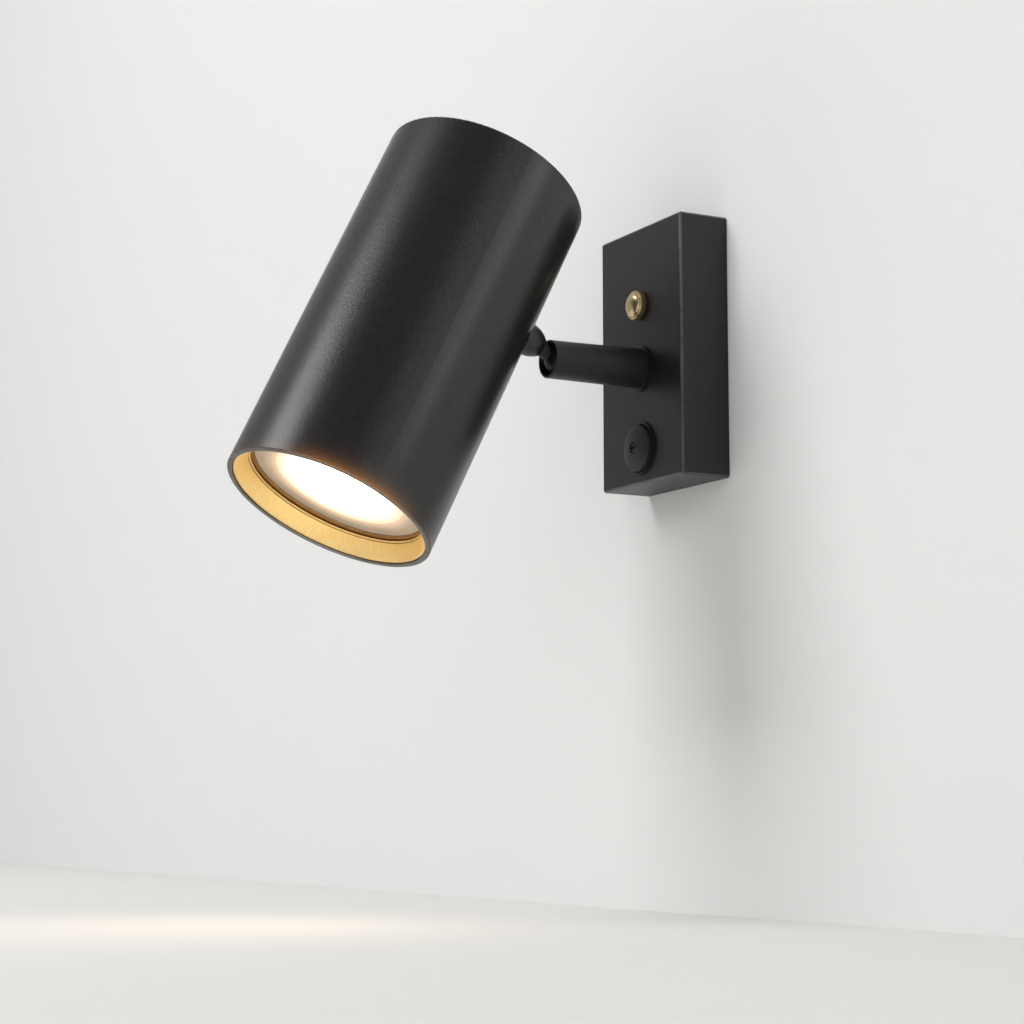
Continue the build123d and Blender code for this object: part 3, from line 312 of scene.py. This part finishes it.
def brushed_gold(name):
    """Gold anodised sleeve: brushed round its axis, fainter streaks along it, with shade painted dark brown
    in its grooves and on its seat.
    """
    finish = Finish(name, Metallic=1.0)
    coords = finish.place(SHADE_FRAME)
    x, y, z = finish.split(coords)
    turn = finish.sums("ARCTAN2", y, x)
    around = finish.add("ShaderNodeCombineXYZ", None, X=finish.sums("MULTIPLY", turn, 1.5), Y=0.0,
                        Z=finish.sums("MULTIPLY", z, 9.0)).outputs["Vector"]
    along = finish.add("ShaderNodeCombineXYZ", None, X=finish.sums("MULTIPLY", turn, 26.0), Y=0.0,
                       Z=finish.sums("MULTIPLY", z, 0.35)).outputs["Vector"]
    brushing = finish.noise(around, 2.0, detail=4.0, roughness=0.6)
    streaks = finish.noise(along, 1.3, detail=3.0, roughness=0.55)
    tone = finish.blend(finish.levels(streaks, 0.3, 0.7, 0.0, 0.6), (1.0, 0.79, 0.38, 1),
                        (0.97, 0.57, 0.18, 1))
    tone = finish.blend(finish.levels(brushing, 0.35, 0.7, 0.0, 0.3), tone, (1.0, 0.87, 0.48, 1))
    # painted shade: dark brown in the two grooves and over the seat, where shade falls
    soft = 0.06
    lower = finish.sums("MULTIPLY", finish.band(z, *LOWER_GROOVE, soft), 0.5)
    upper = finish.sums("MULTIPLY", finish.band(z, *UPPER_GROOVE, soft), 0.9)
    seat = finish.sums("MULTIPLY", finish.levels(z, SLEEVE_SEAT[0] - soft, SLEEVE_SEAT[0]),
                       finish.levels(z, *SLEEVE_SEAT, 0.92, 0.55))
    painted_groove_shade = finish.sums("MAXIMUM", finish.sums("MAXIMUM", lower, upper), seat)
    tone = finish.blend(painted_groove_shade, tone, (0.25, 0.078, 0.010, 1))
    relief = finish.sums("ADD", finish.sums("MULTIPLY", brushing, 0.7),
                         finish.sums("MULTIPLY", streaks, 0.3))
    finish.set(Base_Color=tone, Roughness=finish.levels(brushing, 0.3, 0.7, 0.42, 0.55),
               Normal=finish.bump(relief, 0.5, 0.03 * MM))
    return finish.material


def lamp_face(name):
    """The lamp's satin moulded shell: warm grey, glowing faintly through round the lens."""
    finish = Finish(name, Metallic=0.0, Specular_IOR_Level=0.5)
    coords = finish.place(SHADE_FRAME)
    x, y, z = finish.split(coords)
    radius = finish.radius(x, y)
    grain = finish.noise(coords, 1.8, detail=3.0)
    clouds = finish.noise(coords, 0.18, detail=2.0)
    tone = finish.blend(finish.levels(clouds, 0.3, 0.7), (0.46, 0.40, 0.33, 1), (0.52, 0.45, 0.37, 1))
    seam = finish.band(radius, LENS_RADIUS + 0.1, LENS_RADIUS + 0.3, 0.1)
    tone = finish.blend(finish.sums("MULTIPLY", seam, 0.4), tone, (0.16, 0.12, 0.09, 1))
    near_lens = finish.levels(radius, LENS_RADIUS, LENS_RADIUS + SHELL_GLOW_REACH, 1.0, 0.0)
    at_face = finish.levels(z, LAMP_SETBACK + 0.5, LAMP_SETBACK + 1.5, 1.0, 0.0)
    glow = finish.sums("ADD", finish.sums("MULTIPLY", finish.sums("POWER", near_lens, 1.6), SHELL_GLOW),
                       SHELL_GLOW_ALL_OVER)
    finish.set(Base_Color=tone, Roughness=finish.levels(grain, 0.3, 0.7, 0.3, 0.42),
               Emission_Color=(1.0, 0.67, 0.42, 1), Emission_Strength=finish.sums("MULTIPLY", glow, at_face),
               Normal=finish.bump(grain, 0.4, 0.02 * MM))
    return finish.material


def lit_diffuser(name):
    """Frosted lens over the lit chips: white in the middle, warm and dimmer at its rim."""
    finish = Finish(name, Metallic=0.0, Roughness=0.45)
    coords = finish.place(SHADE_FRAME)
    x, y, _ = finish.split(coords)
    radius = finish.radius(x, y)
    frost = finish.noise(coords, 1.4, detail=3.0)
    rim = finish.levels(radius, LENS_RADIUS - WARM_STARTS, LENS_RADIUS - LENS_EDGE, smooth=True)
    glow = finish.blend(rim, (1.0, 0.88, 0.68, 1), (1.0, 0.74, 0.50, 1))
    middle = finish.levels(radius, LENS_RADIUS - WHITE_ENDS, LENS_RADIUS - DIM_STARTS,
                           WHITE_STRENGTH, DIM_STRENGTH, smooth=True)
    power = finish.sums("MULTIPLY", finish.levels(rim, 0.0, 1.0, middle, EDGE_STRENGTH),
                        finish.levels(frost, 0.3, 0.7, 0.96, 1.04))
    finish.set(Base_Color=(0.55, 0.50, 0.42, 1), Emission_Color=glow, Emission_Strength=power,
               Normal=finish.bump(frost, 0.3, 0.03 * MM))
    return finish.material


def moulding(name, colour, roughness, grain=2.2, depth=0.02):
    """A moulded part with a spark-eroded grain and a little unevenness in tone."""
    finish = Finish(name, Metallic=0.0, Specular_IOR_Level=0.45)
    coords = finish.place()
    fine = finish.noise(coords, grain, detail=3.0, roughness=0.6)
    clouds = finish.noise(coords, 0.15, detail=3.0)
    darker = tuple(c * 0.8 for c in colour[:3]) + (1.0,)
    finish.set(Base_Color=finish.blend(finish.levels(clouds, 0.3, 0.7), colour, darker),
               Roughness=finish.levels(fine, 0.3, 0.7, roughness - 0.05, roughness + 0.07),
               Normal=finish.bump(fine, 0.6, depth * MM))
    return finish.material


def blackened_steel(name):
    """Chemically blackened screw steel: nearly black, burnished on its high places."""
    finish = Finish(name, Metallic=1.0)
    coords = finish.place()
    burnish = finish.noise(coords, 1.6, detail=4.0, roughness=0.6)
    tone = finish.blend(finish.levels(burnish, 0.45, 0.75), (0.03, 0.03, 0.032, 1), (0.11, 0.108, 0.105, 1))
    finish.set(Base_Color=tone, Roughness=finish.levels(burnish, 0.3, 0.7, 0.4, 0.28),
               Normal=finish.bump(finish.noise(coords, 6.0, detail=2.0), 0.4, 0.01 * MM))
    return finish.material


SHADE_BLACK = (0.0068, 0.0068, 0.0070, 1)
COVER_BLACK = (0.0060, 0.0060, 0.0061, 1)
ARM_BLACK = (0.0085, 0.0085, 0.0088, 1)
BALL_BLACK = (0.0070, 0.0070, 0.0068, 1)
BEZEL_BLACK = (0.0080, 0.0080, 0.0083, 1)
BRASS, AGED_BRASS = (0.74, 0.585, 0.345, 1), (0.44, 0.32, 0.15, 1)
INNER_BRASS, INNER_AGED_BRASS = (0.80, 0.62, 0.32, 1), (0.50, 0.34, 0.14, 1)
NUT_FRAME = FACE_TURN @ Matrix.Translation((0, NUT_HEIGHT, 0))
finishes = {
    "shade_black": shade_coat("shade_black_coat", SHADE_BLACK, 0.29, 0.42, 0.05).material,
    "cover_black": cover_coat("cover_black_coat", COVER_BLACK, 0.42, 0.52, 0.07).material,
    "arm_black": powder_coat("arm_black_coat", ARM_BLACK, 0.44, 0.42, 0.03, specular=0.40).material,
    "ball_black": powder_coat("ball_black_finish", BALL_BLACK, 0.42, 0.4, 0.01, specular=0.28).material,
    "bezel_black": powder_coat("bezel_black_coat", BEZEL_BLACK, 0.42, 0.4, 0.012, specular=0.4).material,
    "black_steel": blackened_steel("blackened_screw_steel"),
    "button_black": moulding("button_black_moulding", (0.016, 0.016, 0.017, 1), 0.48),
    "brass": turned_brass("cap_nut_brass", NUT_FRAME, BRASS, AGED_BRASS, 0.27),
    "inner_brass": turned_brass("inner_turned_brass", None, INNER_BRASS, INNER_AGED_BRASS, 0.26),
    "gold": brushed_gold("gold_anodised_sleeve"),
    "zinc_steel": zinc_plate("zinc_plated_steel"),
    "white_nylon": moulding("natural_nylon", (0.80, 0.79, 0.74, 1), 0.42),
    "switch_plastic": moulding("switch_moulding", (0.03, 0.03, 0.033, 1), 0.5),
    "ceramic": moulding("white_steatite", (0.86, 0.84, 0.78, 1), 0.35, grain=3.0, depth=0.012),
    "lamp_shell": lamp_face("lamp_satin_shell"),
    "lamp_diffuser": lit_diffuser("lamp_lit_diffuser"),
    "grey_rubber": moulding("grey_rubber", (0.12, 0.12, 0.125, 1), 0.62),
    "fibre": moulding("brown_fibre", (0.045, 0.02, 0.016, 1), 0.6),
    "lead_insulation": moulding("silicone_insulation", (0.55, 0.50, 0.45, 1), 0.5),
}
slots = {row["node"]: row["material_slot"] for row in frame["record"]["subparts"]}
for name, node in frame["nodes"].items():
    node.data.materials.clear()
    node.data.materials.append(finishes[slots[name]])


# ---------------------------------------------------------------- turned, wound and knurled pieces
class Recipe:
    """A Geometry Nodes tree with named sizes; run once, it leaves a plain mesh."""

    def __init__(self, name, sizes):
        self.name = name
        self.sizes = sizes
        self.tree = bpy.data.node_groups.new(name, "GeometryNodeTree")
        self.socket("Geometry", "INPUT", "NodeSocketGeometry")
        for size, value in sizes.items():
            self.socket(size, "INPUT", "NodeSocketInt" if isinstance(value, int) else "NodeSocketFloat")
        self.socket("Material", "INPUT", "NodeSocketMaterial")
        self.socket("Geometry", "OUTPUT", "NodeSocketGeometry")
        self.given = self.tree.nodes.new("NodeGroupInput").outputs

    def socket(self, name, direction, kind):
        """A named input or output of the tree."""
        self.tree.interface.new_socket(name, in_out=direction, socket_type=kind)

    def add(self, kind, settings=None, **inputs):
        """A new node; its output, or all of them where it has several. Spaces in names are _."""
        node = self.tree.nodes.new(kind)
        for key, value in (settings or {}).items():
            setattr(node, key, value)
        for key, value in inputs.items():
            self.feed(node.inputs[key.replace("_", " ")], value)
        return node.outputs

    def feed(self, socket, value):
        """Links an output socket to an input, or sets the input to a constant."""
        if isinstance(value, bpy.types.NodeSocket):
            self.tree.links.new(value, socket)
        else:
            socket.default_value = value

    def maths(self, operation, first, second=0.0):
        """One step of arithmetic on two values."""
        node = self.tree.nodes.new("ShaderNodeMath")
        node.operation = operation
        self.feed(node.inputs[0], first)
        self.feed(node.inputs[1], second)
        return node.outputs[0]

    def ramp(self, value, low, high, to_low, to_high):
        """A clamped straight ramp."""
        return self.add("ShaderNodeMapRange", {"clamp": True}, Value=value, From_Min=low, From_Max=high,
                        To_Min=to_low, To_Max=to_high)["Result"]

    def end(self, geometry):
        """Closes the tree: real geometry with the piece's material."""
        whole = self.add("GeometryNodeRealizeInstances", None, Geometry=geometry)[0]
        whole = self.add("GeometryNodeSetMaterial", None, Geometry=whole, Material=self.given["Material"])[0]
        self.tree.links.new(whole, self.tree.nodes.new("NodeGroupOutput").inputs[0])

    def run(self, name, material, place, outline=(), closed=True, sharp=40):
        """The finished piece; outline is the section's line for the trees that start from one."""
        start = bpy.data.meshes.new(name + "_start")
        corners = [(x, y, 0.0) for x, y in outline]
        runs = [(i, i + 1) for i in range(len(corners) - 1)]
        if corners and closed:
            runs.append((len(corners) - 1, 0))
        start.from_pydata(corners, runs, [])
        piece = bpy.data.objects.new(name, start)
        bpy.context.scene.collection.objects.link(piece)
        modifier = piece.modifiers.new(self.name, "NODES")
        modifier.node_group = self.tree
        for item in self.tree.interface.items_tree:
            if item.name in self.sizes:
                modifier[item.identifier] = self.sizes[item.name]
            elif item.name == "Material":
                modifier[item.identifier] = material
        graph = bpy.context.evaluated_depsgraph_get()
        mesh = bpy.data.meshes.new_from_object(piece.evaluated_get(graph), depsgraph=graph)
        piece.modifiers.remove(modifier)
        mesh.transform(place)
        mesh.shade_smooth()
        mesh.set_sharp_from_angle(angle=math.radians(sharp))
        piece.data = mesh
        return piece


def turned_sleeve():
    """The gold sleeve: a tapered wall, two fine grooves with a bead between them, and a seat."""
    recipe = Recipe("turned_ring", {"Middle Radius": SLEEVE_MIDDLE * MM, "Steps Round": 160})
    given = recipe.given
    section = recipe.add("GeometryNodeMeshToCurve", None, Mesh=given["Geometry"])[0]
    circle = recipe.add("GeometryNodeCurvePrimitiveCircle", None, Resolution=given["Steps Round"],
                        Radius=given["Middle Radius"])[0]
    recipe.end(recipe.add("GeometryNodeCurveToMesh", None, Curve=circle, Profile_Curve=section)[0])
    # radius and height above the mouth, in millimetres, round the section
    section = [(28.42, 0.60), (28.30, 0.50), (27.92, 0.50), (27.78, 0.56), (27.72, 0.68),
               (26.00, 5.00), (25.94, 5.24), (26.20, 5.30), (26.20, 5.48), (25.74, 5.54),
               (25.62, 5.66), (25.60, 5.82), (25.64, 5.98), (25.76, 6.08), (26.30, 6.14),
               (26.30, 6.40), (25.52, 6.46), (25.20, 6.66), (25.08, 6.92), (25.06, 7.22), (28.42, 7.22)]
    outline = [((radius - SLEEVE_MIDDLE) * MM, -height * MM) for radius, height in section]
    piece = recipe.run("gold_sleeve", finishes["gold"], SHADE_FRAME, outline, sharp=35)
    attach(piece, "head")
    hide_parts("gold_ring")


def wound_spring():
    """The button's return spring: a wound wire whose last turns lie flat against each other."""
    recipe = Recipe("wound_spring", {"Turns": 7.5, "Mean Radius": 2.5 * MM, "Wire Radius": 0.3 * MM,
                                     "Length": SPRING_BACK - SPRING_FRONT, "Closed Share": 0.15})
    given = recipe.given
    wire = recipe.add("GeometryNodeCurveSpiral", None, Resolution=28, Rotations=given["Turns"],
                      Start_Radius=given["Mean Radius"], End_Radius=given["Mean Radius"], Height=0.0)[0]
    along = recipe.add("GeometryNodeSplineParameter")["Factor"]
    closed = given["Closed Share"]
    thickness = recipe.maths("MULTIPLY", given["Wire Radius"], 2.0)
    last = recipe.maths("SUBTRACT", 1.0, closed)
    free = recipe.maths("SUBTRACT", given["Length"], recipe.maths("MULTIPLY", thickness, 3.0))
    height = recipe.maths("ADD", recipe.ramp(along, 0.0, closed, given["Wire Radius"],
                                             recipe.maths("MULTIPLY", given["Wire Radius"], 3.0)),
                          recipe.maths("ADD", recipe.ramp(along, closed, last, 0.0, free),
                                       recipe.ramp(along, last, 1.0, 0.0, thickness)))
    rise = recipe.add("ShaderNodeCombineXYZ", None, Z=height)[0]
    wire = recipe.add("GeometryNodeSetPosition", None, Geometry=wire, Offset=rise)[0]
    round_wire = recipe.add("GeometryNodeCurvePrimitiveCircle", None, Resolution=10,
                            Radius=given["Wire Radius"])[0]
    recipe.end(recipe.add("GeometryNodeCurveToMesh", None, Curve=wire, Profile_Curve=round_wire,
                          Fill_Caps=True)[0])
    back = Matrix.Translation((0, SPRING_BACK, BUTTON_HEIGHT)) @ FACE_TURN
    piece = recipe.run("button_return_spring", finishes["zinc_steel"], back)
    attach(piece, "base")
    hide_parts("button_spring")
    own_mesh(piece)


def nut_foot():
    """The y place of the nut's face against its washer."""
    low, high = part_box("cap_nut")
    return max(low[1], high[1])


def turned_nut():
    """The cap nut: a round head with a thin raised lip and a smooth crown inside it."""
    recipe = Recipe("turned_head", {"Middle Radius": NUT_SECTION_MIDDLE * MM, "Steps Round": 96,
                                    "Merge Distance": 0.02 * MM})
    given = recipe.given
    section = recipe.add("GeometryNodeMeshToCurve", None, Mesh=given["Geometry"])[0]
    circle = recipe.add("GeometryNodeCurvePrimitiveCircle", None, Resolution=given["Steps Round"],
                        Radius=given["Middle Radius"])[0]
    head = recipe.add("GeometryNodeCurveToMesh", None, Curve=circle, Profile_Curve=section)[0]
    recipe.end(recipe.add("GeometryNodeMergeByDistance", None, Geometry=head,
                          Distance=given["Merge Distance"])[0])
    # radius and height above the nut's foot, in millimetres: foot, side, lip, groove, crown
    section = [(0.0, 0.0), (4.10, 0.0), (4.22, 0.12), (4.22, 1.72), (4.14, 1.90), (4.02, 1.99),
               (3.90, 1.96), (3.80, 1.86), (3.68, 1.84)]
    for step in range(1, CROWN_STEPS + 1):
        turn = math.radians(90) * step / CROWN_STEPS
        section.append((CROWN_RADIUS * math.cos(turn),
                        CROWN_FOOT + (CROWN_TOP - CROWN_FOOT) * math.sin(turn)))
    outline = [((radius - NUT_SECTION_MIDDLE) * MM, -height * MM) for radius, height in reversed(section)]
    place = Matrix.Translation((0, nut_foot(), NUT_HEIGHT)) @ FACE_TURN
    piece = recipe.run("cap_nut_head", finishes["brass"], place, outline, closed=False, sharp=50)
    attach(piece, "base")
    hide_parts("cap_nut")


def knurled_edge():
    """Fine straight ribs rolled into the side of the cap nut."""
    recipe = Recipe("knurl", {"Ribs": 44, "Nut Radius": 4.2 * MM, "Rib Radius": 0.2 * MM,
                              "Rib Length": 1.5 * MM})
    given = recipe.given
    ring = recipe.add("GeometryNodeCurvePrimitiveCircle", None, Resolution=given["Ribs"],
                      Radius=given["Nut Radius"])[0]
    rib = recipe.add("GeometryNodeMeshCylinder", None, Vertices=8, Side_Segments=1, Fill_Segments=1,
                     Radius=given["Rib Radius"], Depth=given["Rib Length"])["Mesh"]
    recipe.end(recipe.add("GeometryNodeInstanceOnPoints", None, Points=ring, Instance=rib)[0])
    place = Matrix.Translation((0, nut_foot() - NUT_SIDE_MIDDLE * MM, NUT_HEIGHT)) @ FACE_TURN
    piece = recipe.run("cap_nut_knurl", finishes["brass"], place)
    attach(piece, "base")


turned_sleeve()
wound_spring()
turned_nut()
knurled_edge()


# ---------------------------------------------------------------- wall, floor and light
FLOOR_HEIGHT = -0.163
WALL_Y = 0.0002
WALL_HOLE = (0.0215, 0.0375)


def flat_mesh(name, corners, faces):
    """A flat part of the room, which isn't part of the object."""
    mesh = bpy.data.meshes.new(name)
    mesh.from_pydata(corners, [], faces)
    thing = bpy.data.objects.new(name, mesh)
    bpy.context.scene.collection.objects.link(thing)
    return thing


def wall():
    """The wall, open where the base covers it, so that light reaches the base's back in rear views."""
    wide, high = 3.0, 2.6
    hole_x, hole_z = WALL_HOLE
    outer = [(-wide, WALL_Y, FLOOR_HEIGHT), (wide, WALL_Y, FLOOR_HEIGHT),
             (wide, WALL_Y, high), (-wide, WALL_Y, high)]
    inner = [(-hole_x, WALL_Y, -hole_z), (hole_x, WALL_Y, -hole_z),
             (hole_x, WALL_Y, hole_z), (-hole_x, WALL_Y, hole_z)]
    faces = [(0, 1, 5, 4), (1, 2, 6, 5), (2, 3, 7, 6), (3, 0, 4, 7)]
    return flat_mesh("wall", outer + inner, faces)


def floor():
    """The floor, far larger than what the camera sees."""
    reach = 8.0
    corners = [(-reach, -reach, FLOOR_HEIGHT), (reach, -reach, FLOOR_HEIGHT),
               (reach, reach, FLOOR_HEIGHT), (-reach, reach, FLOOR_HEIGHT)]
    return flat_mesh("floor", corners, [(0, 1, 2, 3)])


def painted_plaster(name, colour, see_through_behind):
    """Smooth painted plaster, and clear from behind so that the light can be seen from the back."""
    finish = Finish(name, Roughness=0.9, Specular_IOR_Level=0.0)
    coords = finish.place()
    clouds = finish.noise(coords, 0.004, detail=2.0)
    grain = finish.noise(coords, 0.35, detail=3.0)
    darker = tuple(c * 0.985 for c in colour[:3]) + (1.0,)
    finish.set(Base_Color=finish.blend(clouds, colour, darker), Normal=finish.bump(grain, 0.05, 0.1 * MM))
    if see_through_behind:
        geometry = finish.add("ShaderNodeNewGeometry")
        clear = finish.add("ShaderNodeBsdfTransparent")
        mixed = finish.add("ShaderNodeMixShader", None, Fac=geometry.outputs["Backfacing"])
        finish.tree.links.new(finish.shader.outputs["BSDF"], mixed.inputs[1])
        finish.tree.links.new(clear.outputs["BSDF"], mixed.inputs[2])
        finish.tree.links.new(mixed.outputs["Shader"], finish.output.inputs["Surface"])
    return finish.material


wall().data.materials.append(painted_plaster("wall_paint", (0.765, 0.765, 0.760, 1), True))
floor().data.materials.append(painted_plaster("floor_paint", (0.830, 0.826, 0.812, 1), False))


def towards(azimuth, elevation):
    """A direction away from the light; azimuth 0 is straight out from the wall, 90 to its right."""
    a, e = math.radians(azimuth), math.radians(elevation)
    return Vector((math.sin(a) * math.cos(e), -math.cos(a) * math.cos(e), math.sin(e)))


def softbox(name, aim, direction, distance, size, power, long_side=Vector((0, 0, 1))):
    """A rectangular soft light that faces the aimed point; its height runs along the long side."""
    data = bpy.data.lights.new(name, "AREA")
    data.shape = "RECTANGLE"
    data.size, data.size_y = size
    data.energy = power
    lamp = bpy.data.objects.new(name, data)
    bpy.context.scene.collection.objects.link(lamp)
    across = long_side.cross(direction).normalized()
    up = direction.cross(across)
    turn = Matrix((across, up, direction)).transposed()
    lamp.matrix_world = Matrix.Translation(Vector(aim) + direction * distance) @ turn.to_4x4()
    return lamp


OBJECT_MIDDLE = (0, -0.06, -0.01)
SHADE_MIDDLE = MOUTH + SHADE_UP * 0.056
softbox("key_softbox", OBJECT_MIDDLE, towards(-12, 35), distance=1.8, size=(0.9, 0.9), power=19.0)
softbox("wall_strip", SHADE_MIDDLE, towards(122, 16), distance=0.1, size=(0.020, 0.12), power=0.008,
        long_side=SHADE_UP)
softbox("rear_softbox", OBJECT_MIDDLE, towards(205, 45), distance=1.4, size=(1.0, 1.0), power=9.0)
room_fill = softbox("room_fill", (0, 0, -0.08), towards(35, 12), distance=2.4, size=(2.2, 1.8), power=13.0)
room_fill.visible_glossy = False

# the room's light comes a little more from the left
ROOM_LEFT, ROOM_RIGHT = (-0.6, 0.46), (0.5, 0.19)
world = bpy.data.worlds.new("studio")
bpy.context.scene.world = world
world.use_nodes = True
room = world.node_tree
sky = room.nodes["Background"]
direction = room.nodes.new("ShaderNodeTexCoord")
across = room.nodes.new("ShaderNodeSeparateXYZ")
level = room.nodes.new("ShaderNodeMapRange")
level.interpolation_type = "SMOOTHSTEP"
level.inputs["From Min"].default_value, level.inputs["To Min"].default_value = ROOM_LEFT
level.inputs["From Max"].default_value, level.inputs["To Max"].default_value = ROOM_RIGHT
room.links.new(direction.outputs["Generated"], across.inputs["Vector"])
room.links.new(across.outputs["X"], level.inputs["Value"])
room.links.new(level.outputs["Result"], sky.inputs["Strength"])
sky.inputs["Color"].default_value = (1.0, 1.0, 1.0, 1.0)


def lamp_beam(name, power, colour, spread, size):
    """The lamp's own light, straight out of the shade's mouth."""
    data = bpy.data.lights.new(name, "SPOT")
    data.energy = power
    data.color = colour
    data.spot_size = math.radians(spread)
    data.spot_blend = 1.0
    data.shadow_soft_size = size
    beam = bpy.data.objects.new(name, data)
    bpy.context.scene.collection.objects.link(beam)
    beam.location = MOUTH
    beam.rotation_mode = "QUATERNION"
    beam.rotation_quaternion = (-SHADE_UP).to_track_quat("-Z", "Y")
    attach(beam, "head")


lamp_beam("lamp_beam", power=0.12, colour=(1.0, 0.72, 0.44), spread=120, size=0.026)


# ---------------------------------------------------------------- camera
CAMERA_PLACE = Vector((0.55763, -0.35519, -0.1339))
CAMERA_TURN = math.radians(62.022)
CAMERA_RISE = math.radians(7.612)
CAMERA_LENS, SENSOR_WIDTH = 78.94, 36.0
camera_data = bpy.data.cameras.new("camera")
camera_data.lens = CAMERA_LENS
camera_data.sensor_width = SENSOR_WIDTH
camera_data.clip_start = 0.01
camera_data.clip_end = 20.0
camera = bpy.data.objects.new("camera", camera_data)
bpy.context.scene.collection.objects.link(camera)
camera.location = CAMERA_PLACE
forward = Vector((-math.sin(CAMERA_TURN) * math.cos(CAMERA_RISE),
                  math.cos(CAMERA_TURN) * math.cos(CAMERA_RISE), math.sin(CAMERA_RISE)))
camera.rotation_mode = "QUATERNION"
camera.rotation_quaternion = forward.to_track_quat("-Z", "Y")
bpy.context.scene.camera = camera

bpy.context.scene.view_settings.view_transform = "Standard"
